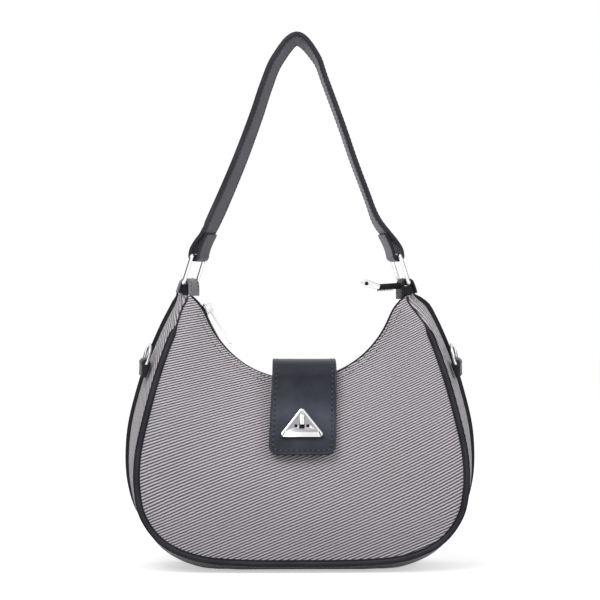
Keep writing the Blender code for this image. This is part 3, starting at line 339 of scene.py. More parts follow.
# The lining's pale tone is partly its own colour and partly painted sheen.
inner_leather = make_leather("strap_lining_leather", (0.262, 0.252, 0.300), 0.50, sheen_and_shade_ramp=STRAP_PAINTED_SHEEN)
edge_paint_and_shade = make_leather("edge_paint_and_shade", (0.010, 0.010, 0.014), 0.35, pebble=0.00004)
print("made", leather.name, strap_outside.name, inner_leather.name, edge_paint_and_shade.name)


# %% Woven tape, lining and thread
def make_woven(name, colour, pitch, roughness):
    """A plain fine weave: crossed waves on the object's own place."""
    material, tree, shader = new_material(name, {"Roughness": roughness, "Specular IOR Level": 0.30})
    place, axes = own_place(tree)
    waves = [math_of(tree, "SINE", math_of(tree, "MULTIPLY", axis, 2 * math.pi / pitch)) for axis in axes]
    weave = math_of(tree, "ADD", math_of(tree, "ADD", waves[0], waves[1]), waves[2])
    level = math_of(tree, "MULTIPLY_ADD", weave, 0.12, noise(tree, place, 120.0, 3.0))
    tone = colour_ramp(tree, level, ((0.2, scaled(colour, 0.6)), (0.8, scaled(colour, 1.5))))
    set_inputs(tree, shader, {"Base Color": tone, "Normal": bump(tree, level, 0.00012, 0.6)})
    return material


tape_cloth = make_woven("black_zip_tape", (0.012, 0.012, 0.015), 0.0009, 0.9)
lining_cloth = make_woven("dark_lining", (0.060, 0.052, 0.062), 0.0007, 0.75)
thread = make_woven("black_thread", (0.030, 0.030, 0.036), 0.0004, 0.6)
pale_thread = make_woven("blue_grey_thread", (0.085, 0.090, 0.125), 0.0004, 0.6)
print("made", tape_cloth.name, lining_cloth.name, thread.name, pale_thread.name)

# %% [markdown]
# ### Metal
# The fittings are bright plated metal. A mirror-smooth shader looks like a drawing, so a fine noise stretches
# the shine in places and a faint bump gives the small waves that casting and polishing leave.


# %% Metal material
def make_metal(name, colour, roughness, wear_and_sheen):
    material, tree, shader = new_material(name, {"Roughness": roughness, "Metallic": 1.0})
    place, _ = own_place(tree)
    smear = noise(tree, place, 260.0, 4.0)
    set_inputs(tree, shader, {
        "Base Color": colour_ramp(tree, smear, ((0.25, scaled(colour, 0.93)), (0.75, colour))),
        "Roughness": math_of(tree, "MULTIPLY_ADD", smear, wear_and_sheen, roughness - wear_and_sheen / 2),
        "Normal": bump(tree, noise(tree, place, 140.0), 0.00005, 0.2),
    })
    return material


chrome = make_metal("bright_metal", (0.88, 0.88, 0.89), 0.14, 0.08)
brushed = make_metal("satin_metal", (0.38, 0.37, 0.39), 0.30, 0.10)
# Painted shade: near-black metal for the lock's well, the shadows in its mitre grooves and the hole in the
# zip's cap, where these recesses lie in shade.
recess_shade = make_metal("painted_recess_shade", (0.03, 0.03, 0.035), 0.5, 0.1)
print("made", chrome.name, brushed.name, recess_shade.name)

# %% [markdown]
# ## Making meshes from rows of points
# A bag is sewn from flat pieces that take their form from their seams. So each cloth piece here is a grid of
# points between two seams, given a second grid inside it and closed round the rim. Edges, bars and cords are
# a section carried along a path. The same few helpers serve every piece.


# %% Vectors and curves
def unit(vector):
    return np.asarray(vector, float) / np.linalg.norm(vector)


def units(rows):
    return rows / np.linalg.norm(rows, axis=1)[:, None]


def mix(start, end, share):
    return start + (end - start) * share


def ease(low, high, value):
    """Nought below low, one above high, and a smooth step between."""
    t = np.clip((np.asarray(value, float) - low) / (high - low), 0, 1)
    return t * t * (3 - 2 * t)


def run_of(path):
    """The length along a path up to each of its points."""
    return np.concatenate([[0], np.cumsum(np.linalg.norm(np.diff(path, axis=0), axis=1))])


def summed(density, places):
    """The running total of a density over places."""
    return np.concatenate([[0], np.cumsum((density[1:] + density[:-1]) / 2 * np.diff(places))])


def even_points(points, count):
    run = run_of(points)
    wanted = np.linspace(0, run[-1], count)
    return np.column_stack([np.interp(wanted, run, column) for column in points.T])


def smooth_curve(points, count, steps=24):
    """A smooth curve through the points, read at count even places along its length."""
    points = np.asarray(points, float)
    ends = np.vstack([2 * points[0] - points[1], points, 2 * points[-1] - points[-2]])
    t = np.linspace(0, 1, steps, endpoint=False)[:, None]
    dense = [
        0.5 * (2 * second + (third - first) * t + (2 * first - 5 * second + 4 * third - fourth) * t**2
               + (3 * second - first - 3 * third + fourth) * t**3)
        for first, second, third, fourth in zip(ends, ends[1:], ends[2:], ends[3:])
    ]
    return even_points(np.vstack(dense + [points[-1:]]), count)


def directions(path, closed=False):
    if closed:
        return units(np.roll(path, -1, axis=0) - np.roll(path, 1, axis=0))
    return units(np.gradient(path, axis=0))


def beside(path):
    """The direction to the right of a flat path at each point."""
    along = directions(path)
    return np.column_stack([along[:, 1], -along[:, 0]])


def circle_points(radius, steps):
    angles = np.linspace(0, 2 * math.pi, steps + 1)[:-1]
    return [(radius * math.cos(a), radius * math.sin(a)) for a in angles]


def box_outline(x_low, y_low, x_high, y_high):
    return [(x_low, y_low), (x_high, y_low), (x_high, y_high), (x_low, y_high)]


def rounded_polygon(corners, radius, steps):
    """Corners in order, each replaced by an arc of the radius."""
    corners = np.array(corners)
    outline = []
    for corner, last, following in zip(corners, np.roll(corners, 1, axis=0), np.roll(corners, -1, axis=0)):
        before, after = unit(last - corner), unit(following - corner)
        half = math.acos(np.clip(before @ after, -1, 1)) / 2
        centre = corner + unit(before + after) * radius / math.sin(half)
        start = unit(corner + before * radius / math.tan(half) - centre)
        end = unit(corner + after * radius / math.tan(half) - centre)
        turn = [unit(mix(start, end, share)) for share in np.linspace(0, 1, steps + 1)]
        outline += [tuple(centre + direction * radius) for direction in turn]
    return outline


print("curves ready")


# %% Shapes: points and faces
def closed_grid(outer, inner):
    """A closed wall between two grids of the same size."""
    outer, inner = np.asarray(outer), np.asarray(inner)
    rows, columns = outer.shape[:2]
    half = rows * columns
    faces = []
    for i in range(rows - 1):
        for j in range(columns - 1):
            a, b, c, d = i * columns + j, i * columns + j + 1, (i + 1) * columns + j + 1, (i + 1) * columns + j
            faces += [(a, b, c, d), (half + d, half + c, half + b, half + a)]
    rim = [(0, j) for j in range(columns)] + [(i, columns - 1) for i in range(1, rows)]
    rim += [(rows - 1, j) for j in range(columns - 2, -1, -1)] + [(i, 0) for i in range(rows - 2, 0, -1)]
    for (i, j), (k, m) in zip(rim, rim[1:] + rim[:1]):
        first, second = i * columns + j, k * columns + m
        faces.append((second, first, half + first, half + second))
    return np.concatenate([outer.reshape(-1, 3), inner.reshape(-1, 3)]), faces


def section_axes(path, across, closed=False):
    """The side and up directions of a section at each point of a path."""
    along = directions(path, closed)
    ups = units(np.cross(along, across))
    return units(np.cross(ups, along)), ups


def sweep(path, across, section, closed=False, scales=1.0):
    """A section of (side, up) points, or one for each place, carried along a path, its side along across."""
    path = np.asarray(path, float)
    sides, ups = section_axes(path, across, closed)
    flat = np.asarray(section, float) * np.broadcast_to(scales, len(path))[:, None, None]
    rings = path[:, None] + sides[:, None] * flat[..., :1] + ups[:, None] * flat[..., 1:]
    rows, count = rings.shape[:2]
    faces = []
    for i in range(rows if closed else rows - 1):
        k = (i + 1) % rows
        for j in range(count):
            m = (j + 1) % count
            faces.append((i * count + j, i * count + m, k * count + m, k * count + j))
    if not closed:
        faces += [tuple(range(count)), tuple((rows - 1) * count + j for j in range(count - 1, -1, -1))]
    return rings.reshape(-1, 3), faces


def slab(loops, low, high, place):
    """An outline with holes, made solid from low to high. Place turns (x, y, height) into a point."""
    caps = tessellate_polygon([[Vector((x, y, 0)) for x, y in loop] for loop in loops])
    corners = [point for loop in loops for point in loop]
    count = len(corners)
    points = [place(x, y, height) for height in (low, high) for x, y in corners]
    faces = [tuple(cap) for cap in caps] + [tuple(count + index for index in reversed(cap)) for cap in caps]
    start = 0
    for loop in loops:
        for index in range(len(loop)):
            a, b = start + index, start + (index + 1) % len(loop)
            faces.append((a, b, count + b, count + a))
        start += len(loop)
    return points, faces


print("shapes ready")


# %% Building and settling a piece
def build(name, shape, material, uv=None, sharp=35.0):
    """A closed mesh object at the origin, facing outwards. UV gives one pair for each point."""
    points, faces = shape
    mesh = bpy.data.meshes.new(name)
    points = [tuple(point) for point in np.asarray(points, float)]
    mesh.from_pydata(points, [], [tuple(map(int, face)) for face in faces])
    mesh.materials.append(material)
    if uv is not None:
        layer = mesh.uv_layers.new(name="cloth")
        corners = np.empty(len(mesh.loops), np.int32)
        mesh.loops.foreach_get("vertex_index", corners)
        layer.data.foreach_set("uv", np.asarray(uv, np.float32)[corners].ravel())
    builder = bmesh.new()
    builder.from_mesh(mesh)
    bmesh.ops.recalc_face_normals(builder, faces=builder.faces)
    if builder.calc_volume(signed=True) < 0:
        bmesh.ops.reverse_faces(builder, faces=builder.faces)
    builder.to_mesh(mesh)
    builder.free()
    mesh.shade_smooth()
    mesh.set_sharp_from_angle(angle=math.radians(sharp))
    return new_object(name, mesh)


def stand_in(piece, slot, *nodes):
    """Hides the CAD nodes that a piece stands for, and prints its count of faces. The slot is not used."""
    if nodes:
        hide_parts(*nodes)
    print(f"{piece.name}: {len(piece.data.polygons)} faces")


def settle(piece, body, slot, *nodes):
    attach(piece, body)
    stand_in(piece, slot, *nodes)


print("building ready")

# %% Finishing a mesh with modifiers
MERGE_DISTANCE = 1e-6
FLAT_ANGLE = math.radians(1)


def flatten_modifiers(piece):
    """Turns the modifiers' result into the piece's own plain mesh."""
    made = bpy.data.meshes.new_from_object(piece.evaluated_get(bpy.context.evaluated_depsgraph_get()))
    piece.modifiers.clear()
    old, piece.data = piece.data, made
    bpy.data.meshes.remove(old)
    return piece


def add_modifier(piece, kind, **settings):
    """Adds a modifier and makes its result the piece's own mesh."""
    modifier = piece.modifiers.new(kind.lower(), kind)
    for key, value in settings.items():
        setattr(modifier, key, value)
    return flatten_modifiers(piece)


def soften_edges(piece, width, segments=2, angle=50.0):
    limit = math.radians(angle)
    add_modifier(piece, "BEVEL", width=width, segments=segments, limit_method="ANGLE", angle_limit=limit)
    piece.data.shade_smooth()
    piece.data.set_sharp_from_angle(angle=math.radians(40))
    return piece


def cut_out(host, name, shape):
    """Cuts a shape out of a piece."""
    cutter = build(name, shape, host.data.materials[0])
    add_modifier(host, "BOOLEAN", operation="DIFFERENCE", solver="EXACT", object=cutter)
    bpy.data.objects.remove(cutter)
    return host


def cad_copy(node, name, material, change, move=(0, 0, 0)):
    """A copy of a CAD node with its doubles merged and a change made to it."""
    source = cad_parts[node]
    builder = bmesh.new()
    builder.from_mesh(source.data)
    bmesh.ops.transform(builder, matrix=source.matrix_world, verts=builder.verts)
    bmesh.ops.translate(builder, vec=Vector(move), verts=builder.verts)
    bmesh.ops.remove_doubles(builder, verts=builder.verts, dist=MERGE_DISTANCE)
    change(builder)
    mesh = bpy.data.meshes.new(name)
    builder.to_mesh(mesh)
    builder.free()
    mesh.materials.append(material)
    return new_object(name, mesh)


def join_flat_faces(builder):
    bmesh.ops.dissolve_limit(builder, angle_limit=FLAT_ANGLE, verts=builder.verts, edges=builder.edges)


def settle_copy(node, name, body, material, width, segments=2, move=(0, 0, 0), slot="metal"):
    """A copy of a CAD node with its flat faces joined and its edges softened, settled in its place."""
    piece = cad_copy(node, name, material, join_flat_faces, move)
    settle(soften_edges(piece, width, segments), body, slot, node)


print("finishing ready")

# %% [markdown]
# ## The body's form
# Two panels, front and back, meet a gusset that goes from one horn round the base to the other. The back seam
# stands wider than the front one, and both follow a table of shares measured on the real outline. The mouth
# is an arc about a level axis above the bag, so the zip can turn about that axis too.

# %% Named sizes of the body
FRONT_HALF_WIDTH, BACK_HALF_WIDTH = 0.128, 0.1385
HORN_HEIGHT = 0.2145
BASE_HALF_DEPTH, HORN_HALF_DEPTH = 0.038, 0.014
DEPTH_FALL_POWER = 2.2
PANEL_THICKNESS = GUSSET_THICKNESS = 0.002
LINING_THICKNESS = 0.0008
SEAM_GAP = 0.0003
PIPING_RADIUS = 0.0024
EDGE_INSET = PIPING_RADIUS + SEAM_GAP
FRONT_BELLY, BACK_BELLY = 0.013, 0.0158
GUSSET_SIDE_BELLY, GUSSET_BASE_BELLY = 0.0025, 0.011
MOUTH_RADIUS = 0.0781
MOUTH_CENTRE_Z = 0.2263
MOUTH_HALF_ANGLE = math.radians(80)
FRONT_SEAM_SHARES = (
    (0.0, 0.034), (0.35, 0.036), (0.62, 0.052), (0.83, 0.105), (0.955, 0.195), (0.997, 0.30),
    (0.994, 0.42), (0.95, 0.55), (0.873, 0.72), (0.777, 0.875), (0.665, 0.98), (0.658, 1.0),
)
BACK_SEAM_SHARES = (
    (0.0, 0.030), (0.35, 0.032), (0.62, 0.048), (0.81, 0.10), (0.935, 0.19), (0.99, 0.30),
    (1.0, 0.42), (0.975, 0.55), (0.89, 0.74), (0.80, 0.88), (0.715, 0.985), (0.705, 1.01),
)
ALONG = 240
X_AXIS, Y_AXIS, Z_AXIS = np.eye(3)
print("mouth", 2000 * MOUTH_RADIUS, "mm across")


# %% Seams and mouth
def whole_outline(shares, half_width):
    half_line = [(x * half_width, z * HORN_HEIGHT) for x, z in shares]
    return smooth_curve([(-x, z) for x, z in reversed(half_line)] + half_line[1:], ALONG + 1)


def moved_tips(seam, low, high, left, right):
    """A seam with its tips moved to the real ones, easing in between two shares of the horns' height."""
    amount = ease(low * HORN_HEIGHT, high * HORN_HEIGHT, seam[:, 1])[:, None]
    return seam + amount * np.where(seam[:, :1] < 0, left, right)


def seam_depth(z):
    fall = (z / HORN_HEIGHT).clip(0, 1) ** DEPTH_FALL_POWER
    return mix(BASE_HALF_DEPTH, HORN_HALF_DEPTH, fall)


def in_space(flat, y=0.0):
    return np.column_stack([flat[:, 0], np.broadcast_to(y, len(flat)), flat[:, 1]])


def seam_points(seam, side):
    """The seam in space. Side is -1 at the front and 1 at the back."""
    return in_space(seam, side * seam_depth(seam[:, 1]))


def mouth_points(angles, radius):
    """Points of the mouth's arc. An angle is from straight down, to the right."""
    return np.column_stack([radius * np.sin(angles), MOUTH_CENTRE_Z - radius * np.cos(angles)])


FRONT_SEAM = moved_tips(
    whole_outline(FRONT_SEAM_SHARES, FRONT_HALF_WIDTH), 0.88, 0.975, (-0.0054, -0.0002), (-0.0008, -0.0006)
)
BACK_SEAM = moved_tips(
    whole_outline(BACK_SEAM_SHARES, BACK_HALF_WIDTH), 0.955, 1.01, (-0.0010, 0.0006), (-0.0078, 0.0014)
)
SEAMS = {"front": (FRONT_SEAM, -1, FRONT_BELLY), "back": (BACK_SEAM, 1, BACK_BELLY)}
print("left tip", np.round(FRONT_SEAM[0] * 1000, 1), "mm")

# %% [markdown]
# ### How the twill's lines run
# On the real front the lines rise to the right by about 22 degrees low down. The cloth is eased over the
# horns, so on the left they flatten out and lie closer, and on the right they steepen. A field that counts
# the lines gives that: its slope is set by height, and a small term in width and height turns the two sides
# apart.

# %% The count of twill lines over a panel
HEIGHT_STEPS = 200
LINE_HEIGHTS = (0.0, 0.045, 0.100, 0.132, 0.155, 0.230)
LINES_PER_METRE = (430.0, 437.0, 475.0, 545.0, 570.0, 575.0)
LINES_ACROSS = -182.0
LINE_TURN = -600.0
LINE_TURN_HEIGHT = 0.045
LINE_TURN_SOFTNESS = 0.02
YARN_PITCH = 0.0011
YARN_DIRECTION = (0.92, 0.38)


def panel_cloth(x, z):
    """UV of a panel: yarns along U and twill lines across V, counted over the cloth."""
    heights = np.linspace(0, LINE_HEIGHTS[-1], HEIGHT_STEPS)
    counted = summed(np.interp(heights, LINE_HEIGHTS, LINES_PER_METRE), heights)
    spread = np.sqrt(x**2 + LINE_TURN_SOFTNESS**2) - LINE_TURN_SOFTNESS
    lines = np.interp(z, heights, counted) + LINES_ACROSS * x
    lines = lines + LINE_TURN * spread * np.maximum(z - LINE_TURN_HEIGHT, 0)
    return np.stack([(x * YARN_DIRECTION[0] + z * YARN_DIRECTION[1]) / YARN_PITCH, lines], axis=-1)


print("lines counted")

# %% [markdown]
# ### The horns
# Near each horn's tip the gusset folds over the front piping and hides it, and only a thin seam shows. So the
# piping thins out above a certain height, and the panel's edge and the gusset's edge close up on the seam.
#
# The zip needs a true arc, but the real cloth leaves that arc near its ends and runs out to each horn's tip.
# So the cloth's edge, the tape's outer edge and the lining are drawn outwards there, and the teeth stay on
# the arc.

# %% Where the front piping shows, and how the mouth's ends are drawn out
FOLD_LOW, FOLD_HIGH = 0.1835, 0.1925
TUCKED_INSET = 0.0008
DRAW_START = math.radians(64)
DRAW_POWER = 3.6
LEFT_DRAW, RIGHT_DRAW = np.array((-0.0098, 0.0030)), np.array((0.0080, 0.0012))
MOUTH_SHIFT = np.array((-0.0024, 0.0))


def piping_shows(z, side):
    return np.ones_like(z) if side > 0 else 1 - ease(FOLD_LOW, FOLD_HIGH, z)


def edge_inset(z, side):
    return mix(TUCKED_INSET, EDGE_INSET, piping_shows(z, side))


def drawn_out(flat, angles, shares=1.0):
    """Points of the mouth in the front view, shifted and drawn towards the horns' tips by a share."""
    past = np.clip((np.abs(angles) - DRAW_START) / (MOUTH_HALF_ANGLE - DRAW_START), 0, 1)
    shares = np.broadcast_to(shares, len(angles))[:, None]
    draw = past[:, None] ** DRAW_POWER * np.where(angles[:, None] < 0, LEFT_DRAW, RIGHT_DRAW)
    return flat + (MOUTH_SHIFT + draw) * shares


def mouth_edge(radius):
    angles = np.linspace(-MOUTH_HALF_ANGLE, MOUTH_HALF_ANGLE, ALONG + 1)
    return drawn_out(mouth_points(angles, radius), angles)


print("fold from", FOLD_LOW, "to", FOLD_HIGH)

# %% [markdown]
# ### Panels
# A panel could be cut flat and inflated by cloth simulation, but a stretched panel over a stiff lining hardly
# moves, and its seams must stay on the piping. So its belly is a smooth bulge between seam and mouth, with a
# slight slouch and a turned hem along the mouth, whose fold stands a little proud.

# %% Panels
HEM_WIDTH, HEM_RISE = 0.0062, 0.0005
HEM_EDGE_WIDTH, HEM_EDGE_DROP = 0.0008, 0.0004
HEM_STEPS = (0.0, 0.0004, 0.0012, 0.0026, 0.0042, 0.0056, 0.0064, 0.0075, 0.0095)
HEM_MOST = 0.45
PANEL_ROWS = 30
FULLNESS_POWER = 0.8
SLOUCH, SLOUCH_MARGIN = 0.0006, 0.25


def panel_form(seam, belly, inset):
    """A panel's width and fullness at each column, and its bulge as a function of the share to the mouth."""
    rim, mouth = seam - beside(seam) * inset, mouth_edge(MOUTH_RADIUS)
    width = np.linalg.norm(rim - mouth, axis=1)
    fullness = (width / width.max()) ** FULLNESS_POWER

    def bulge(v):
        v = np.broadcast_to(v, width.shape)
        x, z = mix(rim, mouth, v[:, None]).T
        return x, mix(seam_depth(seam[:, 1]), HORN_HALF_DEPTH, v) + belly * 4 * v * (1 - v) * fullness, z

    return width, fullness, bulge


def panel_surface(seam, side, belly):
    """The outer surface of a panel, from its seam to its hem."""
    width, fullness, bulge = panel_form(seam, belly, edge_inset(seam[:, 1], side)[:, None])
    squeeze = np.minimum(1, width * HEM_MOST / HEM_STEPS[-1])
    hem = HEM_STEPS[-1] * squeeze
    gaps = [(1 - share) * (width - hem) + hem for share in np.linspace(0, 1, PANEL_ROWS, endpoint=False)]
    rows = []
    for gap in gaps + [step * squeeze for step in reversed(HEM_STEPS)]:
        v = 1 - gap / width
        x, y, z = bulge(v)
        inside = ease(0, SLOUCH_MARGIN, v) * ease(0, SLOUCH_MARGIN, 1 - v) * fullness
        y = y + inside * SLOUCH * (np.sin(31 * x + 52 * z + side) + 0.6 * np.sin(74 * x - 43 * z + 2))
        y = y + HEM_RISE * squeeze * (1 - ease(HEM_WIDTH, HEM_WIDTH * 1.2, gap / squeeze))
        y = y - HEM_EDGE_DROP * squeeze * (1 - ease(0, HEM_EDGE_WIDTH, gap / squeeze))
        rows.append(np.column_stack([x, side * y, z]))
    return np.array(rows).transpose(1, 0, 2)


def make_panel(word):
    seam, side, belly = SEAMS[word]
    outer = panel_surface(seam, side, belly)
    points, faces = closed_grid(outer, outer - Y_AXIS * side * PANEL_THICKNESS)
    piece = build(word + "_cloth", (points, faces), twill, panel_cloth(points[:, 0] * -side, points[:, 2]))
    settle(piece, "root", "twill", word + "_panel")
    return outer


panel_grids = {word: make_panel(word) for word in SEAMS}

# %% [markdown]
# ### Gusset
# The gusset is one long strip. It bulges a little between its seams, more under the base, where the bag
# stands on it, and it is pinched flat on the floor. Near the horns it swells over the front seam. Its twill
# lines lie wider towards the horns, and turn across the strip on the right.

# %% Gusset
GUSSET_ROWS = 20
FOLD_SWELL = 0.0011
SWELL_START, SWELL_RATE, SWELL_END = -0.12, 2.6, 0.27
LEFT_HORN_SHARE = 0.25
RIGHT_TURN_SHARES = (0.68, 0.95)
LINES_ALONG, LINES_OVER = 0.755, 0.656
LINES_ALONG_RIGHT, LINES_OVER_RIGHT = 0.17, 0.985
TWILL_PITCH, TWILL_PITCH_LEFT, TWILL_PITCH_RIGHT = 0.0023, 0.0038, 0.0050


def gusset_surface():
    """The gusset's outer surface from the front seam to the back seam, and its outward directions."""
    front, back = seam_points(FRONT_SEAM, -1), seam_points(BACK_SEAM, 1)
    across = units(back - front)
    start = front + across * edge_inset(FRONT_SEAM[:, 1], -1)[:, None]
    end = back - across * EDGE_INSET
    out = units((beside(FRONT_SEAM) + beside(BACK_SEAM)) / 2)
    belly = mix(GUSSET_SIDE_BELLY, GUSSET_BASE_BELLY, np.clip(-out[:, 1], 0, 1) ** 4)
    belly = belly * np.clip(np.linalg.norm(end - start, axis=1) / (2 * BASE_HALF_DEPTH), 0, 1)
    fold = (1 - piping_shows(FRONT_SEAM[:, 1], -1)) * FOLD_SWELL
    grid = []
    for w in np.linspace(0, 1, GUSSET_ROWS + 1):
        swell = math.sin(math.pi * min(1, (w - SWELL_START) * SWELL_RATE)) if w < SWELL_END else 0
        row = mix(start, end, w) + in_space(out) * (belly * 4 * w * (1 - w) + fold * swell)[:, None]
        row[:, 2] = np.maximum(row[:, 2], 0)
        grid.append(row)
    return np.array(grid).transpose(1, 0, 2), in_space(out)


gusset_grid, gusset_out = gusset_surface()
middle_line = gusset_grid[:, GUSSET_ROWS // 2]
length = run_of(middle_line)
sides = np.sign(np.arange(GUSSET_ROWS + 1) - GUSSET_ROWS / 2)
over = np.linalg.norm(gusset_grid - middle_line[:, None], axis=2) * sides
share = length / length[-1]
to_right = ease(*RIGHT_TURN_SHARES, share)
pitch = mix(TWILL_PITCH_LEFT, TWILL_PITCH, ease(0, LEFT_HORN_SHARE, share))
lines_along = mix(LINES_ALONG / pitch, LINES_ALONG_RIGHT / TWILL_PITCH_RIGHT, to_right)
lines_over = mix(LINES_OVER / pitch, LINES_OVER_RIGHT / TWILL_PITCH_RIGHT, to_right)
lines = summed(lines_along, length)[:, None] + over * lines_over[:, None]
yarns = (length[:, None] * LINES_OVER - over * LINES_ALONG) / YARN_PITCH
uv = np.stack([yarns, lines], axis=-1).reshape(-1, 2)
wall = closed_grid(gusset_grid, gusset_grid - gusset_out[:, None, :] * GUSSET_THICKNESS)
gusset = build("gusset_cloth", wall, twill, np.concatenate([uv, uv]))
settle(gusset, "root", "twill", "gusset")

# %% [markdown]
# ### Piping
# Both seams carry a leather cord. It is a round section swept along the seam, on a flat flange that fills
# the seam on both sides of it. The flange is the piping's own lip, and its near-black is painted shade for
# the dark gaps beside the cord. On the front both thin out where the gusset folds over them.

# %% Piping
CORD_RADIUS = 0.0015
FLANGE_WIDTH, FLANGE_OUTER_SHARE = 0.0052, 0.2
CORD_TAPER = 0.010
CORD_LEAST, FLANGE_LEAST = 0.45, 0.2

for word, (seam, side, _) in SEAMS.items():
    run = run_of(seam)
    shows = piping_shows(seam[:, 1], side) * ease(0, CORD_TAPER, run) * ease(0, CORD_TAPER, run[-1] - run)
    line = seam_points(seam, side)
    cord = sweep(line, Y_AXIS, circle_points(CORD_RADIUS, 16), scales=mix(CORD_LEAST, 1.0, shows))
    settle(build(word + "_piping_cord", cord, leather, sharp=60), "root", "leather", word + "_piping")
    # Painted shade: the near-black flange shows as the dark gaps on both sides of the cord.
    reach = FLANGE_WIDTH / 2
    flange = box_outline(-reach, -reach, reach * FLANGE_OUTER_SHARE, reach)
    if side < 0:
        flange = [(-x, y) for x, y in reversed(flange)]
    flange = sweep(line, Y_AXIS, flange, scales=mix(FLANGE_LEAST, 1.0, shows))
    settle(build(word + "_piping_flange", flange, edge_paint_and_shade, sharp=40), "root", "leather")

# %% [markdown]
# ### Lining
# The lining is an open pouch that hangs inside the cloth, from under the zip down to the base. It is seen
# only when the flap is up, but without it the bag would be an empty shell.

# %% Lining
LINING_PANEL_GAP, LINING_GUSSET_GAP = 0.0024, 0.0018
LINING_DROP = 0.0028
LINING_SHARES = (1, 0.83, 0.66, 0.5, 0.33)

base_rows = [gusset_grid[:, GUSSET_ROWS * quarter // 4] for quarter in (1, 2, 3)]
surfaces = []
for extra in (0, LINING_THICKNESS):
    inward = -gusset_out * (GUSSET_THICKNESS + LINING_GUSSET_GAP + extra)
    columns = []
    for seam, side, belly in SEAMS.values():
        shift = -Y_AXIS * side * (PANEL_THICKNESS + LINING_PANEL_GAP + extra)
        bulge = panel_form(seam, belly, EDGE_INSET)[2]
        rows = [np.column_stack([x, side * y, z]) for x, y, z in map(bulge, LINING_SHARES)]
        top = in_space(mouth_edge(MOUTH_RADIUS + LINING_DROP), rows[0][:, 1])
        strips = [row + shift for row in [top] + rows[1:] + [seam_points(seam, side) + inward]]
        columns += strips if side < 0 else [row + inward for row in base_rows] + strips[::-1]
    surfaces.append(np.array(columns).transpose(1, 0, 2))
lining = build("lining_pouch", closed_grid(*surfaces), lining_cloth, sharp=80)
settle(lining, "root", "lining", "lining")

# %% [markdown]
# ## Stitches and teeth
# Hundreds of small stitches follow the edges of the leather and the hem, and the zip repeats one tooth.
# Placing each by hand is hopeless and a painted line has no thread. Geometry Nodes walk along a path, drop
# one small part at each pitch, and turn it to lie along the path and up from the surface.


# %% Trees that set parts along a path
def make_row_tree(name, part_kind, part_inputs):
    tree = bpy.data.node_groups.new(name, "GeometryNodeTree")
    kinds = {"Geometry": "Geometry", "Pitch": "Float", "Length": "Float", "Width": "Float", "Height": "Float",
             "Material": "Material"}
    sockets = {
        word: tree.interface.new_socket(word, in_out="INPUT", socket_type="NodeSocket" + kind).identifier
        for word, kind in kinds.items()
    }
    tree.interface.new_socket("Geometry", in_out="OUTPUT", socket_type="NodeSocketGeometry")
    given = node_of(tree, "NodeGroupInput").outputs
    curve = node_of(tree, "GeometryNodeMeshToCurve", {"Mesh": given["Geometry"]}).outputs[0]
    walk = node_of(tree, "GeometryNodeResampleCurve", {"Curve": curve, "Length": given["Pitch"]}, mode="LENGTH")
    part = node_of(tree, part_kind, part_inputs).outputs["Mesh"]
    size = node_of(tree, "ShaderNodeCombineXYZ", {0: given["Length"], 1: given["Width"], 2: given["Height"]})
    shaped = node_of(tree, "GeometryNodeTransform", {"Geometry": part, "Scale": size.outputs[0]})
    tangent = node_of(tree, "GeometryNodeInputTangent").outputs[0]
    along = node_of(tree, "FunctionNodeAlignRotationToVector", {"Vector": tangent}, axis="X").outputs[0]
    facing = node_of(tree, "GeometryNodeInputNamedAttribute", {"Name": "facing"}, data_type="FLOAT_VECTOR")
    turning = {"Rotation": along, "Vector": facing.outputs["Attribute"]}
    upright = node_of(tree, "FunctionNodeAlignRotationToVector", turning, axis="Z", pivot_axis="X")
    dropping = {"Points": walk.outputs[0], "Instance": shaped.outputs[0], "Rotation": upright.outputs[0]}
    drop = node_of(tree, "GeometryNodeInstanceOnPoints", dropping)
    real = node_of(tree, "GeometryNodeRealizeInstances", {0: drop.outputs[0]})
    painting = {"Geometry": real.outputs[0], "Material": given["Material"]}
    node_of(tree, "NodeGroupOutput", {0: node_of(tree, "GeometryNodeSetMaterial", painting).outputs[0]})
    return tree, sockets


SEWING = make_row_tree("sewing", "GeometryNodeMeshUVSphere", {"Segments": 6, "Rings": 5, "Radius": 0.5})
TEETH = make_row_tree("teeth", "GeometryNodeMeshCylinder", {"Vertices": 8, "Radius": 0.5, "Depth": 1.0})


def row_of(kind, name, paths, material, pitch, length, width, height):
    """Small parts along each (points, facing) path, as one plain mesh."""
    tree, sockets = kind
    points, edges, facing = [], [], []
    for path, normals in paths:
        edges += [(len(points) + i, len(points) + i + 1) for i in range(len(path) - 1)]
        points += [tuple(point) for point in path]
        facing += [tuple(normal) for normal in np.broadcast_to(normals, np.shape(path))]
    mesh = bpy.data.meshes.new(name)
    mesh.from_pydata(points, edges, [])
    layer = mesh.attributes.new("facing", "FLOAT_VECTOR", "POINT")
    layer.data.foreach_set("vector", np.asarray(facing, np.float32).ravel())
    piece = new_object(name, mesh)
    setting = piece.modifiers.new("row", "NODES")
    setting.node_group = tree
    values = {"Pitch": pitch, "Length": length, "Width": width, "Height": height, "Material": material}
    for key, value in values.items():
        setting[sockets[key]] = value
    return flatten_modifiers(piece)


def sew(name, body, paths, material=thread, pitch=0.0034, length=0.0025, width=0.0007, height=0.0005):
    """Stitches along the paths. They are settled at once where a body is given."""
    piece = row_of(SEWING, name, paths, material, pitch, length, width, height)
    piece.data.shade_smooth()
    if body:
        settle(piece, body, "leather")
    return piece


print("rows ready")

# %% Hem stitches along the mouth
HEM_STITCH_LINES = (0.0017, 0.0054)
HEM_STITCH_LIFT = 0.0001
HEM_BARE_COLUMNS = 10


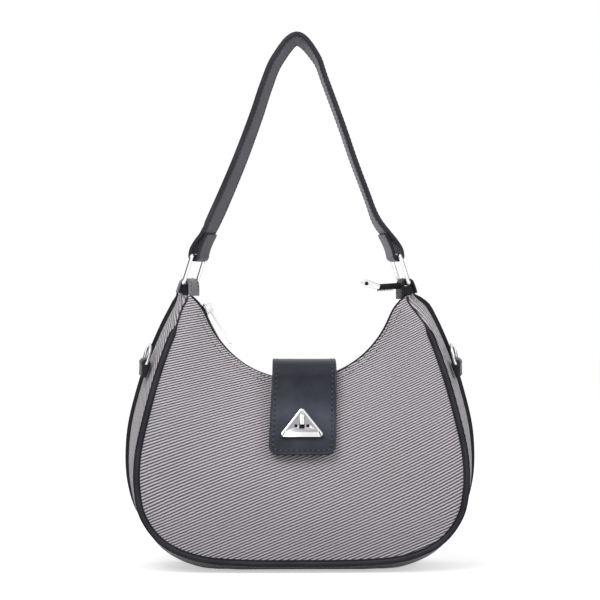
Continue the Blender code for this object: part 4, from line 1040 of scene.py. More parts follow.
def row_at(grid, side, gap):
    """A line on a panel at a distance below the mouth, lifted off the cloth."""
    path = []
    for column in grid[:, ::-1]:
        from_mouth = np.linalg.norm(column - column[0], axis=1)
        path.append([np.interp(gap, from_mouth, values) for values in column.T])
    return np.array(path) + Y_AXIS * side * HEM_STITCH_LIFT


paths = [
    (row_at(panel_grids[word], side, gap)[HEM_BARE_COLUMNS:-HEM_BARE_COLUMNS], Y_AXIS * side)
    for word, (_, side, _) in SEAMS.items() for gap in HEM_STITCH_LINES
]
sew("hem_stitches", "root", paths, pitch=0.0030, length=0.0022, width=0.0005, height=0.0004)

# %% [markdown]
# ## Zip
# Each tape is a strip whose section is carried round the mouth's arc: it covers the cloth's raw edge, folds
# down into the bag and carries the teeth. These sit half a pitch apart on the two tapes and lock between each
# other.

# %% Zip tapes
ZIP_HALF_ANGLE, SLIDER_ANGLE = math.radians(79), math.radians(73.5)
CHAIN_RADIUS = MOUTH_RADIUS + 0.0019
ZIP_PITCH = 0.0022
TAPE_THICKNESS = 0.0011
TAPE_RISE = 0.0014
TAPE_RISE_ANGLES, TAPE_END_ANGLES = np.radians((45, 62)), np.radians((74.5, 78))
TAPE_FOLLOWS = 0.8
OUTER_EDGE = (0.0045, 0.0095)
# From the cloth's edge to the teeth: distance from the middle, distance from the mouth's axis
TAPE_TABLE = (
    (0.01345, MOUTH_RADIUS + 0.0007), (0.0126, MOUTH_RADIUS + 0.0006), (0.0112, MOUTH_RADIUS + 0.0007),
    (0.0096, MOUTH_RADIUS + 0.0011), (0.0082, MOUTH_RADIUS + 0.0017), (0.0070, MOUTH_RADIUS + 0.0021),
    (0.0048, CHAIN_RADIUS), (0.0026, CHAIN_RADIUS),
)


def tape_end_share(angle):
    """How far the whole tape follows the mouth's left end, past the slider."""
    return TAPE_FOLLOWS * ease(*TAPE_END_ANGLES, angle)


def make_tape(word, side):
    profile = smooth_curve(TAPE_TABLE, 19)
    angles = np.linspace(-ZIP_HALF_ANGLE, ZIP_HALF_ANGLE, 193)
    proud = ease(*TAPE_RISE_ANGLES, -angles) * TAPE_RISE
    surfaces = []
    for offset in (TAPE_THICKNESS / 2, -TAPE_THICKNESS / 2):
        grid = []
        for y, radius in profile + beside(profile) * offset:
            outer_share = float(ease(*OUTER_EDGE, y))
            flat = mouth_points(angles, radius - proud * outer_share)
            flat = drawn_out(flat, angles, np.maximum(outer_share, tape_end_share(-angles)))
            grid.append(in_space(flat, side * y))
        surfaces.append(np.array(grid).transpose(1, 0, 2))
    tape = build("zip_cloth_" + word, closed_grid(*surfaces), tape_cloth, sharp=70)
    settle(tape, "root", "zip_tape", "zip_tape_" + word)


make_tape("front", -1)
make_tape("back", 1)

# %% Teeth
TOOTH_LENGTH, TOOTH_REACH, TOOTH_HEIGHT = 0.00125, 0.0044, 0.0019
TOOTH_CENTRE = 0.0017
LAST_TOOTH = ZIP_HALF_ANGLE - 0.05
teeth_paths = []
for side, shift in ((-1, 0.0), (1, 0.5)):
    first = -SLIDER_ANGLE + ZIP_PITCH * shift / CHAIN_RADIUS
    angles = np.arange(first, LAST_TOOTH, ZIP_PITCH / CHAIN_RADIUS / 4)
    facing = in_space(np.column_stack([-np.sin(angles), np.cos(angles)]))
    teeth_paths.append((in_space(mouth_points(angles, CHAIN_RADIUS), side * TOOTH_CENTRE), facing))
teeth = row_of(TEETH, "zip_teeth", teeth_paths, brushed, ZIP_PITCH, TOOTH_LENGTH, TOOTH_REACH, TOOTH_HEIGHT)
settle(teeth, "root", "metal")

# %% [markdown]
# The slider, its puller and the end stops have the right shape in the CAD part already. Real cast metal has
# no razor edges, so each is copied, its edges are softened, and it gets the plated finish. The stops move
# with the tape's end.

# %% Slider, puller and stops
settle_copy("zip_slider", "zip_slider_body", "zip_slider", chrome, 0.0003)
settle_copy("zip_puller", "zip_puller_bar", "zip_puller", chrome, 0.00035)
for node, name in (("zip_stop_front", "zip_stop_near"), ("zip_stop_back", "zip_stop_far")):
    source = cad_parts[node]
    x, _, z = np.mean([source.matrix_world @ Vector(corner) for corner in source.bound_box], axis=0)
    angle = np.array([math.atan2(x, MOUTH_CENTRE_Z - z)])
    (right, up), = drawn_out(np.zeros((1, 2)), angle, tape_end_share(-angle))
    print(f"{node} moved {right * 1000:.1f} mm across and {up * 1000:.1f} mm up")
    settle_copy(node, name, "root", brushed, 0.0003, move=(right, 0, up))

# %% [markdown]
# The zip's loose end at the right horn is its tape folded lengthwise, with the last teeth on its lower edge
# and a metal cap on the end.

# %% Zip's loose end
RIGHT_RING_X = 0.0820
HORN_TAB_LENGTH = 0.0165
TAIL_LENGTH, TAIL_HEIGHT = 0.0120, 0.0048
TAIL_GAP = 0.0004
TAIL_Z = 0.2222
TAIL_SINK = math.radians(4)
TAIL_ROOT_REACH = 0.0050
TAIL_OVERLAP = 0.001
TAIL_FOLD = (
    (-0.00045, -0.0024), (-0.0010, -0.0022), (-0.0016, -0.0010), (-0.00175, 0.0008), (-0.0011, 0.0021),
    (0, 0.0025), (0.0011, 0.0021), (0.00175, 0.0008), (0.0016, -0.0010), (0.0010, -0.0022), (0.00045, -0.0024),
    (0.0002, -0.0010), (0, 0.0012), (-0.0002, -0.0010),
)
END_TEETH_START, END_TEETH_DROP, END_TEETH_ASIDE = 0.0012, 0.0027, 0.0004

tail_root = np.array((RIGHT_RING_X - HORN_TAB_LENGTH / 2 - TAIL_GAP, 0, TAIL_Z))
tail_along = np.array((-math.cos(TAIL_SINK), 0, -math.sin(TAIL_SINK)))
tail_up = np.cross(Y_AXIS, tail_along)
reaches = np.linspace(-TAIL_ROOT_REACH, TAIL_LENGTH + TAIL_OVERLAP, 24)
tail = sweep(tail_root + tail_along * reaches[:, None], Y_AXIS, TAIL_FOLD)
end_tape = build("zip_end_tape", tail, tape_cloth, sharp=60)
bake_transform(end_tape)
stand_in(end_tape, "zip_tape", "zip_tail")
end_teeth = []
for side, shift in ((-1, 0), (1, ZIP_PITCH / 2)):
    start = tail_root - tail_up * END_TEETH_DROP + Y_AXIS * side * END_TEETH_ASIDE
    steps = END_TEETH_START + shift + TAIL_LENGTH * np.linspace(0, 0.86, 12)
    end_teeth.append((start + tail_along * steps[:, None], Y_AXIS))
end_teeth = row_of(TEETH, "zip_end_teeth", end_teeth, brushed, ZIP_PITCH, TOOTH_LENGTH, 0.0014, 0.0012)
settle(end_teeth, "zip_tail", "metal")

# %% The metal cap on the loose end
CAP_TURN = math.radians(19)
CAP_OVERLAP = 0.0012
CAP_HALF_THICKNESS, WELL_HALF_THICKNESS = 0.0021, 0.0012
CAP_LINE = (
    (0, -0.0019), (0.0060, -0.0024), (0.0105, -0.0031), (0.0142, -0.0024), (0.0152, 0), (0.0142, 0.0024),
    (0.0105, 0.0031), (0.0060, 0.0024), (0, 0.0019),
)
cap_along = tail_along * math.cos(CAP_TURN) + tail_up * math.sin(CAP_TURN)
cap_up = np.cross(Y_AXIS, cap_along)
cap_start = tail_root + tail_along * (TAIL_LENGTH - CAP_OVERLAP)
hole = rounded_polygon(box_outline(0.0098, -0.0013, 0.0122, 0.0013), 0.0005, 3)


def on_cap(x, z, y):
    return cap_start + cap_along * x + cap_up * z + Y_AXIS * y


cap = slab([CAP_LINE, hole], -CAP_HALF_THICKNESS, CAP_HALF_THICKNESS, on_cap)
cap = build("zip_end_cap", cap, chrome, sharp=40)
settle(soften_edges(cap, 0.0006, 3, 40), "zip_tail", "metal", "zip_tail_cap")
# Painted shade: a near-black slab fills the cap's hole.
well = build("zip_end_well", slab([hole], -WELL_HALF_THICKNESS, WELL_HALF_THICKNESS, on_cap), recess_shade)
settle(well, "zip_tail", "metal")

# %% [markdown]
# ## Flap
# The flap is sewn to the back, goes over the mouth and hangs down the front. Its side view is one smooth
# line. A grid follows that line; its edges are thinned to a round, as turned leather is, and the free end has
# round corners. A window behind the lock lets the catch's post through, cut with a Boolean.

# %% The flap's line
FLAP_THICKNESS, FLAP_LINING_THICKNESS = 0.0026, 0.0010
FLAP_TOP_HALF_WIDTH, FLAP_END_HALF_WIDTH = 0.0245, 0.0262
FLAP_CORNER = 0.0080
FLAP_RISE = 0.0150
FLAP_SKEW, SKEW_START = 0.0023, 0.4
FLAP_BEND_SHARES = (
    (1.12, 0.62), (0.80, 0.90), (0.20, 1.0), (-0.70, 0.99), (-1.35, 0.80), (-1.80, 0.30), (-2.06, -0.50),
)
MOUTH_LOW_Z = MOUTH_CENTRE_Z - MOUTH_RADIUS
FLAP_FRONT_TOP, FLAP_END = np.array((0, -0.0315, 0.1280)), np.array((0, -0.0428, 0.0915))
flap_bend = [(y * HORN_HALF_DEPTH, MOUTH_LOW_Z + z * FLAP_RISE) for y, z in FLAP_BEND_SHARES]
flap_side = smooth_curve(flap_bend + [FLAP_FRONT_TOP[1:], FLAP_END[1:]], 161)
flap_run, flap_out = run_of(flap_side), -beside(flap_side)
FLAP_LENGTH = flap_run[-1]
print(f"flap {FLAP_LENGTH * 1000:.0f} mm from hinge to end")


def on_flap(x, along, above):
    """A point at x across, a length along the flap from its hinge, and above its middle surface."""
    y, z, out_y, out_z = (np.interp(along, flap_run, values) for values in (*flap_side.T, *flap_out.T))
    aside = FLAP_SKEW * np.interp(along / FLAP_LENGTH, (SKEW_START, 1), (1, 0))
    return np.array((x + aside, y - out_y * above, z - out_z * above))


def flap_half_width(along):
    return mix(FLAP_TOP_HALF_WIDTH, FLAP_END_HALF_WIDTH, along / FLAP_LENGTH)


# %% Flap and its lining
HALF_SHARES = (1, 0.988, 0.965, 0.93, 0.86, 0.7, 0.5, 0.25)
COLUMN_SHARES = [-share for share in HALF_SHARES] + [0, *reversed(HALF_SHARES)]
END_SHARES = (0.85, 0.7, 0.56, 0.43, 0.32, 0.22, 0.14, 0.08, 0.03, 0.0)
EDGE_ROUND, EDGE_LEAST = 0.0013, 0.28
FLAP_ROWS = 70
BACKING_INSET, BACKING_START = 0.0006, 0.0052
WINDOW, WINDOW_REACH = box_outline(-0.0027, -0.0080, 0.0027, 0.0012), 0.006
LOCK_SHARE = 0.30
LOCK_DROP = 0.0026
LOCK_UP = unit(FLAP_FRONT_TOP - FLAP_END)
LOCK_OUT = np.cross(X_AXIS, LOCK_UP)
LOCK_AT = mix(FLAP_FRONT_TOP, FLAP_END, LOCK_SHARE) - LOCK_UP * LOCK_DROP


def on_lock(x, up, out):
    return LOCK_AT + X_AXIS * x + LOCK_UP * up + LOCK_OUT * out


def leather_sheet(rows, thickness, at):
    """A sheet whose edges thin out. Rows give a place, its half width and its distance from the nearest end."""
    outer, inner = [], []
    for place, half_width, from_end in rows:
        for grid, sign in ((outer, 1), (inner, -1)):
            row = []
            for share in COLUMN_SHARES:
                near = np.clip(1 - min((1 - abs(share)) * half_width, from_end) / EDGE_ROUND, 0, 1)
                kept = mix(EDGE_LEAST, 1, math.sqrt(1 - near**2))
                row.append(at(share * half_width, place, sign * thickness / 2 * kept))
            grid.append(row)
    return closed_grid(outer, inner)


def flap_layer(name, material, thickness, above, inset, start=0.0):
    last, corner = FLAP_LENGTH - inset, FLAP_CORNER - inset
    rows = []
    places = [*np.linspace(start, last - corner, FLAP_ROWS), *(last - corner * share for share in END_SHARES)]
    for place in places:
        past = max(0, place - (last - corner)) / corner
        half_width = flap_half_width(place) - inset - corner * (1 - math.sqrt(max(0, 1 - past**2)))
        rows.append((place, half_width, last - place))
    sheet = leather_sheet(rows, thickness, lambda x, place, lift: on_flap(x, place, above + lift))
    layer = build(name, sheet, material, sharp=75)
    return cut_out(layer, "window", slab([WINDOW], -WINDOW_REACH, WINDOW_REACH, on_lock))


settle(flap_layer("flap_leather", flap_leather, FLAP_THICKNESS, 0, 0), "flap", "leather", "flap")
thickness = FLAP_LINING_THICKNESS
below = -(FLAP_THICKNESS + SEAM_GAP + thickness) / 2
backing = flap_layer("flap_backing", backing_leather_and_rim_highlight, thickness, below, BACKING_INSET, BACKING_START)
settle(backing, "flap", "lining", "flap_lining")

# %% Flap stitches and the rim's painted highlight
STITCH_INSET = 0.0034
STITCH_LIFT = 0.00005
STITCH_START, FLAP_STITCH_PITCH = 0.012, 0.0042
RIM_INSET, RIM_START, RIM_SINK = 0.0009, 0.004, 0.0001
RIM_SECTION = ((-0.0008, -0.0003), (0.0008, -0.0003), (0.0005, 0.0003), (0, 0.0004), (-0.0005, 0.0003))


def flap_line(inset, start, lift):
    """A line inside the flap's edge: down one side, round the end and up the other, as (points, facings)."""
    last, corner = FLAP_LENGTH - inset, FLAP_CORNER - inset
    half_line = [(-(flap_half_width(s) - inset), s) for s in np.linspace(start, last - corner, 60)]
    width = -half_line[-1][0] - corner
    for a in np.linspace(0.15, math.pi / 2, 9):
        half_line.append((-(width + corner * math.cos(a)), last - corner + corner * math.sin(a)))
    seam = half_line + [(-x, s) for x, s in reversed(half_line[:-1])]
    levels = (0, FLAP_THICKNESS / 2 + lift, 1)
    low, line, high = (np.array([on_flap(x, s, above) for x, s in seam]) for above in levels)
    return line, high - low


stitches = flap_line(STITCH_INSET, STITCH_START, STITCH_LIFT)
# Painted shade: dark beads between the stitches stand for the shade in the needle holes.
holes = flap_line(STITCH_INSET, STITCH_START + FLAP_STITCH_PITCH / 2, 0.0)
sew("flap_stitches", "flap", [stitches], pale_thread, FLAP_STITCH_PITCH, 0.0024, 0.0009, 0.0006)
sew("flap_needle_hole_shade", "flap", [holes], edge_paint_and_shade, FLAP_STITCH_PITCH, 0.0019, 0.0011, 0.0004)
# Painted highlight: a thin band of paler backing leather inside the flap's edge, where the rounded edge catches
# the light.
path, facing = flap_line(RIM_INSET, RIM_START, -RIM_SINK)
rim = sweep(path, np.cross(facing, directions(path)), RIM_SECTION)
settle(build("flap_rim_highlight", rim, backing_leather_and_rim_highlight, sharp=60), "flap", "leather")

# %% [markdown]
# ### Flap's root
# The root is the same leather, sewn flat on the back panel. It stands off by what the panel reaches at each
# height, so it lies on the cloth whatever the belly is. Its top thins out, to leave the lifted flap room.

# %% Flap's root on the back
ROOT_LENGTH = 0.030
ROOT_GAP = 0.0006
ROOT_CORNER = 0.006
ROOT_TAPER_SHARE = 0.45
ROOT_STITCHED = slice(4, 27)


def back_reach(z):
    columns = [column for column in panel_grids["back"] if np.abs(column[:, 0]).min() <= FLAP_TOP_HALF_WIDTH]
    return max(np.interp(z, column[:, 2], column[:, 1]) for column in columns)


stand = (ROOT_GAP + FLAP_THICKNESS) / 2
heights = np.linspace(MOUTH_LOW_Z - ROOT_LENGTH, MOUTH_LOW_Z - ROOT_GAP, 4)
hinge_y, hinge_z = flap_bend[0]
root_top = (hinge_y, hinge_z - FLAP_THICKNESS / 2 - SEAM_GAP)
root_line = smooth_curve([(back_reach(z) + stand, z) for z in heights] + [root_top], 41)
root_out = beside(root_line)
root_reach = np.linalg.norm(root_line - root_line[0], axis=1)


def on_root(x, index, lift):
    y, z = root_line[index] + root_out[index] * lift
    return np.array((x + FLAP_SKEW, y, z))


rows = []
for index, reach in enumerate(root_reach):
    cut = ROOT_CORNER * (1 - math.sqrt(1 - max(0, 1 - reach / ROOT_CORNER) ** 2))
    rows.append((index, FLAP_TOP_HALF_WIDTH - cut, min(reach, (root_reach[-1] - reach) * ROOT_TAPER_SHARE)))
root = leather_sheet(rows, FLAP_THICKNESS, on_root)
settle(build("flap_root", root, leather, sharp=75), "root", "leather", "flap_anchor")
side_x = FLAP_TOP_HALF_WIDTH - STITCH_INSET
stitched = range(len(root_line))[ROOT_STITCHED]
rising, falling = (
    [on_root(x, index, FLAP_THICKNESS / 2 + STITCH_LIFT) for index in indices]
    for x, indices in ((-side_x, stitched), (side_x, stitched[::-1]))
)
shares = np.linspace(0, 1, 14)
top_row = [mix(rising[-1], falling[0], share) for share in shares[1:-1]]
bottom_row = [mix(falling[-1], rising[0], share) for share in shares[1:]]
sew("root_stitches", "root", [(np.array(rising + top_row + falling + bottom_row), Y_AXIS)])

# %% [markdown]
# ## Lock
# The lock is a small triangle of bright metal with a raised frame, a mitred bar along its foot and a button
# that slides in a slot. Thin parts are cut from outlines and their edges bevelled, because bevels are what
# make metal read as metal. Two plain square windows beside the button stand where the real one has marks of
# its own.

# %% Lock plate
LOCK_WIDTH, LOCK_HEIGHT, LOCK_THICKNESS = 0.032, 0.0215, 0.0028
LOCK_CORNER = 0.0022
FIELD_THICKNESS = 0.0017
FRAME_SIDE, FRAME_FOOT = 0.0015, 0.0038
SLOT = box_outline(-0.0021, -0.0040, 0.0021, 0.0073)
MARK = rounded_polygon(box_outline(0.0034, -0.0030, 0.0058, -0.0006), 0.0004, 3)
WELL = rounded_polygon([(-0.0064, -0.0046), (0.0064, -0.0046), (0.0028, 0.0078), (-0.0028, 0.0078)], 0.0006, 3)
lock_low = FLAP_THICKNESS / 2 + SEAM_GAP
lock_base = -LOCK_HEIGHT / 2
half_lock = LOCK_WIDTH / 2 + LOCK_CORNER
lock_apex = lock_base + LOCK_HEIGHT + LOCK_CORNER
outline = rounded_polygon([(-half_lock, lock_base), (half_lock, lock_base), (0, lock_apex)], LOCK_CORNER, 6)


def lock_layer(name, loops, low, high, material, sharp=30):
    """A slab on the lock, from low to high above the flap's leather."""
    return build(name, slab(loops, lock_low + low, lock_low + high, on_lock), material, sharp=sharp)


other_mark = [(-x, y) for x, y in reversed(MARK)]
field = lock_layer("lock_field", [outline, SLOT, MARK, other_mark], 0, FIELD_THICKNESS, brushed)
settle(soften_edges(field, 0.00025), "flap", "metal", "lock_plate")
# Painted shade: a near-black plate under the field shows through the slot and the two windows.
settle(lock_layer("lock_well", [WELL], -0.0001, 0.00015, recess_shade), "flap", "metal")

inner_apex = lock_apex - FRAME_SIDE / unit((half_lock, lock_apex - lock_base))[0]
inner_base = lock_base + FRAME_FOOT
inner_half = (inner_apex - inner_base) * half_lock / (lock_apex - lock_base)
inside = rounded_polygon([(-inner_half, inner_base), (inner_half, inner_base), (0, inner_apex)], 0.0008, 3)
lock_frame = lock_layer("lock_frame", [outline, inside], FIELD_THICKNESS * 0.8, LOCK_THICKNESS, chrome)
print("lock frame inside half width", round(inner_half * 1000, 1), "mm")

# %% Mitre grooves, button and catch
MITRE_HALF_WIDTH = 0.00036
MITRE_OVERLAP = 0.0006
GROOVE_FLOOR = FIELD_THICKNESS + 0.0004
SHADOW_LOW, SHADOW_HIGH = FIELD_THICKNESS + 0.0002, FIELD_THICKNESS + 0.0007


def mitre(side):
    """The outline of a thin slanted cut in the frame's foot, from its inner corner to the plate's corner."""
    start = np.array((side * (inner_half - 0.0004), inner_base + MITRE_OVERLAP))
    end = np.array((side * (half_lock - 0.0030), lock_base - MITRE_OVERLAP))
    run = unit(end - start)
    aside = np.array((-run[1], run[0])) * MITRE_HALF_WIDTH
    return [start - aside, end - aside, end + aside, start + aside]


for side, word in ((-1, "left"), (1, "right")):
    groove = slab([mitre(side)], lock_low + GROOVE_FLOOR, lock_low + LOCK_THICKNESS + 0.001, on_lock)
    cut_out(lock_frame, "groove", groove)
    shadow = lock_layer("lock_groove_" + word, [mitre(side)], SHADOW_LOW, SHADOW_HIGH, recess_shade, 35)
    settle(shadow, "flap", "metal")
settle(soften_edges(lock_frame, 0.00014), "flap", "metal")
drop = -LOCK_UP * LOCK_DROP
settle_copy("lock_button", "lock_slide", "lock_button", chrome, 0.0004, 3, drop)
settle_copy("lock_back_plate", "lock_back", "flap", brushed, 0.0002, move=drop)
settle_copy("lock_catch", "lock_post", "root", chrome, 0.0002, move=drop)
settle_copy("lock_catch_washer", "lock_washer", "root", brushed, 0.0002, move=drop)

# %% [markdown]
# ## Rings and their loops
# A rectangular ring of round wire stands on each horn, held by a leather loop. The wire is a circle swept
# along a rounded rectangle; twenty sides are enough for it to look round up close.

# %% Rings
RING_WIRE, RING_LENGTH, RING_HEIGHT = 0.0030, 0.0325, 0.0264
RING_CORNER = 0.0025
RING_LEAN = math.radians(18.7)
LEFT_RING_X = -0.0880
RING_FOOT_Z = 0.2242
BAR_SPACING = RING_HEIGHT - RING_WIRE


def ring_frame(x, yaw):
    """The lower bar's middle, then the directions of the bars, up the ring and level inwards."""
    side = math.copysign(1, x)
    bar = np.array((side * math.sin(yaw), -math.cos(yaw), 0))
    inward = np.array((-side * math.cos(yaw), -math.sin(yaw), 0))
    up = Z_AXIS * math.cos(RING_LEAN) + inward * math.sin(RING_LEAN)
    return np.array((x, 0, RING_FOOT_Z)), bar, up, inward


RINGS = {"left": ring_frame(LEFT_RING_X, math.radians(19)), "right": ring_frame(RIGHT_RING_X, math.radians(11))}
for word, (foot, bar, up, _) in RINGS.items():
    reach = (RING_LENGTH - RING_WIRE) / 2
    loop = rounded_polygon(box_outline(-reach, 0, reach, BAR_SPACING), RING_CORNER, 10)
    path = np.array([foot + bar * x + up * y for x, y in loop + loop[:1]])
    wire = sweep(even_points(path, 121)[:-1], np.cross(bar, up), circle_points(RING_WIRE / 2, 20), closed=True)
    settle(build("ring_wire_" + word, wire, chrome, sharp=80), "ring_" + word, "metal", "strap_ring_" + word)

# %% [markdown]
# Each loop is a folded strap: an arch over the ring's bar whose outer leg stands on the horn and whose inner
# leg goes down into it. A thicker block fills the fold under the bar, as the real one is sewn shut there.

# %% Horn loops
LOOP_HALF_WIDTH, LOOP_WALL = 0.010, 0.0019
LOOP_OUTER_REACH, LOOP_INNER_REACH = 0.0082, 0.0044
LOOP_CLEARANCE = 0.0008
LOOP_FOOT = 1.01 * HORN_HEIGHT + SEAM_GAP - RING_FOOT_Z
LOOP_SINKS = {"left": 0.0024, "right": 0.0050}
CORE_TOP_X, CORE_TOP = -0.0042, -0.0019
SEWN_INSET = 0.0022
SEWN_PART = slice(8, 34)

for word, (foot, bar, _, inward) in RINGS.items():
    low, top = LOOP_FOOT, RING_WIRE / 2 + LOOP_CLEARANCE + LOOP_WALL
    inner_low = low - LOOP_SINKS[word]
    arch = smooth_curve([
        (-LOOP_OUTER_REACH, low), (-LOOP_OUTER_REACH + 0.0008, low + 0.0032), (-0.0048, top - 0.0020),
        (-0.0012, top), (0.0020, top - 0.0009), (LOOP_INNER_REACH - 0.0003, top - 0.0046),
        (LOOP_INNER_REACH, inner_low),
    ], 40)
    path = foot + inward * arch[:, :1] + Z_AXIS * arch[:, 1:]
    normal = np.cross(directions(path), bar)
    normal = normal if normal[len(path) // 2] @ Z_AXIS > 0 else -normal
    path = path - normal * LOOP_WALL / 2
    section = box_outline(-LOOP_HALF_WIDTH, -LOOP_WALL / 2, LOOP_HALF_WIDTH, LOOP_WALL / 2)
    # The loop's pale colour is painted sheen.
    loop = build("horn_loop_" + word, sweep(path, bar, section), loop_leather_with_painted_sheen, sharp=45)
    settle(soften_edges(loop, 0.0005, 3), "root", "leather", "horn_tab_" + word)
    core_x = LOOP_INNER_REACH - LOOP_WALL * 0.8
    corners = [(-LOOP_OUTER_REACH + LOOP_WALL, low + 0.0002), (core_x, inner_low), (core_x, CORE_TOP),
               (CORE_TOP_X, CORE_TOP)]
    sewn = LOOP_HALF_WIDTH - SEWN_INSET
    core = slab([rounded_polygon(corners, 0.0006, 3)], -sewn, sewn,
                lambda x, z, y, foot=foot, inward=inward, bar=bar: foot + inward * x + Z_AXIS * z + bar * y)
    settle(build("horn_core_" + word, core, edge_paint_and_shade, sharp=45), "root", "leather")
    outside = path[SEWN_PART] + normal[SEWN_PART] * (LOOP_WALL / 2 + STITCH_LIFT)
    rows = [(outside + bar * y, normal[SEWN_PART]) for y in (-sewn, sewn)]
    sew("horn_stitches_" + word, "root", rows, pitch=0.0026, length=0.0019)

# %% [markdown]
# ## Strap
# The strap is one length of leather, four layers thick at its ends, where it goes round the ring and is sewn
# back on itself inside the arch. It is made as one strip: a rounded section carried from the left tucked end,
# round the left ring, over the arch and round the right ring. Its near edge leans outwards, so the paler
# lining shows; its pale tone is partly its own and partly painted sheen, lighter towards the right.

# %% The strap's path
STRAP_WIDTH, STRAP_THICKNESS = 0.0265, 0.0038
STRAP_FOLD_WIDTH, STRAP_FOLD_THICKNESS = 0.0234, 0.0024
STRAP_BAR_CLEARANCE = 0.0009
STRAP_HALF_SPAN, STRAP_RISE = 0.080, 0.172
STRAP_END_HEIGHT, STRAP_END_LEAN = 0.0168, 0.42
STRAP_SHARES = (
    (-0.81, 0.216), (-0.653, 0.386), (-0.54, 0.52), (-0.433, 0.658), (-0.344, 0.783), (-0.238, 0.90),
    (-0.045, 1.0), (0.145, 0.915), (0.243, 0.80), (0.400, 0.603), (0.521, 0.44), (0.648, 0.283), (0.745, 0.165),
)
FOLD_RADIUS = RING_WIRE / 2 + STRAP_BAR_CLEARANCE + STRAP_FOLD_THICKNESS / 2
FOLD_POINTS, ARCH_POINTS = 72, 200
strap_base = RING_FOOT_Z + BAR_SPACING * RINGS["left"][2][2]


def folded_end(foot, bar, up, inward):
    """From the tucked end, down the inside, round the bar and up the outside, to where the arch starts."""
    height, lean = STRAP_END_HEIGHT, STRAP_END_HEIGHT * STRAP_END_LEAN
    layer = (STRAP_THICKNESS + STRAP_FOLD_THICKNESS) / 2 + 0.0001
    tucked = [(lean + layer + 0.0002, height), (lean + layer - 0.0028, height * 0.66),
              (FOLD_RADIUS + 0.0014, height * 0.32)]
    turn = [(FOLD_RADIUS * math.cos(a), FOLD_RADIUS * math.sin(a)) for a in np.linspace(0.1, 0.15 - math.pi, 9)]
    rising = [(-FOLD_RADIUS + 0.0012, height * 0.3), (-FOLD_RADIUS + 0.0052, height * 0.66), (lean, height)]
    local = smooth_curve(tucked + turn + rising, FOLD_POINTS)
    return foot + up * BAR_SPACING + inward * local[:, :1] + Z_AXIS * local[:, 1:]


left_fold, right_fold = (folded_end(*ring) for ring in RINGS.values())
arch = [(x * STRAP_HALF_SPAN, 0, strap_base + z * STRAP_RISE) for x, z in STRAP_SHARES]
arch = smooth_curve([left_fold[-1], *arch, right_fold[-1]], ARCH_POINTS)
# Folds and arch share their end points. These and a few beside them are left out, because two equal points
# have no direction between them
strap_path = np.vstack([left_fold[:-3], arch[2:-2], right_fold[::-1][3:]])
print(f"strap {run_of(arch)[-1] * 1000:.0f} mm between its folds")

# %% How the strap leans
STRAP_TILTS = np.radians((22, 14, 3, 1.5))
STRAP_TILT_SHARES = (0, 0.48, 0.57, 1)
LEAN_LOW, LEAN_HIGH = strap_base + 0.013, strap_base + 0.042
WIDEN_LOW, WIDEN_HIGH = strap_base + 0.006, strap_base + 0.034
STILL_TUCKED = 0.02
THICKEN_POWER = 6


def strap_sides():
    """The near side's direction at each point: along the ring's bar at the ends, leaning out over the arch."""
    run, along, index = run_of(strap_path), directions(strap_path), np.arange(len(strap_path))
    tilts = np.interp(run / run[-1], STRAP_TILT_SHARES, STRAP_TILTS)[:, None]
    out = units(np.column_stack([-along[:, 2], np.zeros(len(along)), along[:, 0]]))
    leaning = -Y_AXIS * np.cos(tilts) + out * np.sin(tilts)
    free = ease(LEAN_LOW, LEAN_HIGH, strap_path[:, 2])
    tucked = (index < FOLD_POINTS) | (index >= len(strap_path) - FOLD_POINTS)
    free = np.where(tucked & (free < STILL_TUCKED), 0, free)[:, None]
    bars = np.where((index < len(strap_path) / 2)[:, None], RINGS["left"][1], RINGS["right"][1])
    return units(mix(bars, leaning, free))


near_sides = strap_sides()
strap_widths = mix(STRAP_FOLD_WIDTH, STRAP_WIDTH, ease(WIDEN_LOW, WIDEN_HIGH, strap_path[:, 2]))
from_fold = np.ones(len(strap_path))
from_fold[:FOLD_POINTS] = np.linspace(0, 1, FOLD_POINTS) ** THICKEN_POWER
from_fold[-FOLD_POINTS:] = np.linspace(1, 0, FOLD_POINTS) ** THICKEN_POWER
strap_layers = mix(STRAP_FOLD_THICKNESS, STRAP_THICKNESS, from_fold)
print("strap path", len(strap_path), "points")

# %% Strap mesh
EDGE_IN, EDGE_BEND, CUSHION_IN = 0.0009, 0.0002, 0.0035
# The finish of the face after each point of the section: 0 outside, 1 edge, 2 inside
SECTION_FINISHES = (1, 1, 0, 0, 0, 0, 1, 1, 1, 1, 2, 2, 2, 2, 1, 1)
TUCKED_RINGS = 34


def strap_section(width, thickness):
    half, up = width / 2, -thickness / 2
    rising = [(half, 0.0), (half - EDGE_BEND, up * 0.55), (half - EDGE_IN, up), (half - CUSHION_IN, up * 1.04)]
    lower = [(-x, y) for x, y in rising] + [(0, up * 1.08)] + rising[:0:-1]
    return lower + [(-x, -y) for x, y in lower]


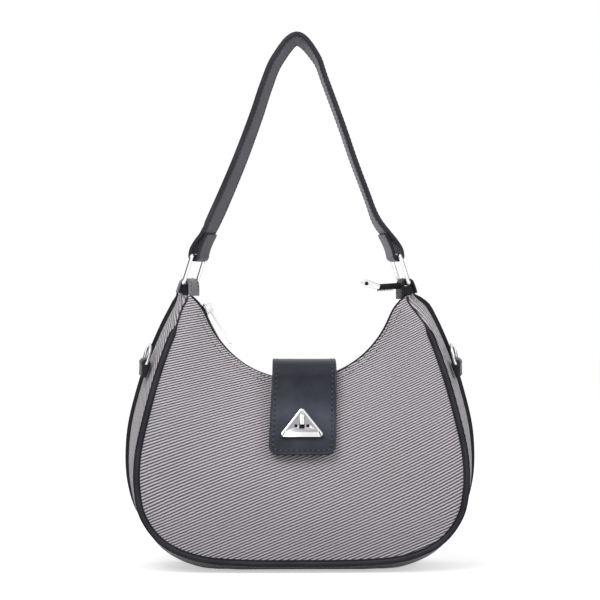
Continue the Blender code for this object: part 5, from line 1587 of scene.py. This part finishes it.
sections = [strap_section(*size) for size in zip(strap_widths, strap_layers)]
strap = build("strap_leather", sweep(strap_path, near_sides, sections), strap_outside, sharp=75)
finishes = []
for index in range(len(strap_path) - 1):
    turned_back = index < TUCKED_RINGS or index >= len(strap_path) - 1 - TUCKED_RINGS
    finishes += [finish or (2 if turned_back else 0) for finish in SECTION_FINISHES]
strap.data.materials.append(strap_edge)
strap.data.materials.append(inner_leather)
strap.data.polygons.foreach_set("material_index", finishes + [1, 1])
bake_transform(strap)
stand_in(strap, "leather", "strap", "strap_end_left", "strap_end_right")

# %% Strap stitches
STRAP_STITCH_INSET = 0.0026
OUTER_START, INNER_START = 4, FOLD_POINTS - 8
CROSS_ROWS = (14, 40, -15, -41)
CROSS_STEPS = 12
flat_sides, ups = section_axes(strap_path, near_sides)
reach = (strap_widths / 2 - STRAP_STITCH_INSET)[:, None]
rows = []
for sign in (-1, 1):
    for face, start in ((-1, INNER_START), (1, OUTER_START)):
        away = (strap_layers / 2 * 1.05 + STITCH_LIFT)[:, None]
        line = strap_path + flat_sides * sign * reach + ups * face * away
        rows.append((line[start:-start], (ups * face)[start:-start]))
for index in CROSS_ROWS:
    across = flat_sides[index] * np.linspace(-reach[index], reach[index], CROSS_STEPS)
    away = strap_layers[index] / 2 * 1.06 + 0.0001
    rows.append((strap_path[index] + across + ups[index] * away, ups[index]))
strap_seams = sew("strap_stitches", None, rows)
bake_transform(strap_seams)
stand_in(strap_seams, "leather")

# %% [markdown]
# ## Side loops and D-rings
# A small D-ring hangs in a leather tab on each side. The CAD ring is an eight-sided tube; a subdivision
# surface rounds it, and the wire is fattened a little first, because the subdivision draws it in.

# %% Side tabs and D-rings
D_RING_FATTENING = 0.0025 * 0.055


def fattened(builder):
    bmesh.ops.join_triangles(builder, faces=builder.faces, angle_face_threshold=0.6, angle_shape_threshold=1.2)
    builder.normal_update()
    moves = [vertex.normal * D_RING_FATTENING for vertex in builder.verts]
    for vertex, move in zip(builder.verts, moves):
        vertex.co += move


for word in ("left", "right"):
    settle_copy("side_tab_" + word, "side_loop_" + word, "root", leather, 0.0005, 3, slot="leather")
    ring = cad_copy("d_ring_" + word, "side_ring_" + word, chrome, fattened)
    add_modifier(ring, "SUBSURF", levels=2, render_levels=2)
    ring.data.shade_smooth()
    settle(ring, "d_ring_" + word, "metal", "d_ring_" + word)

# %% [markdown]
# ## The end

# %% Finish
print("finished")
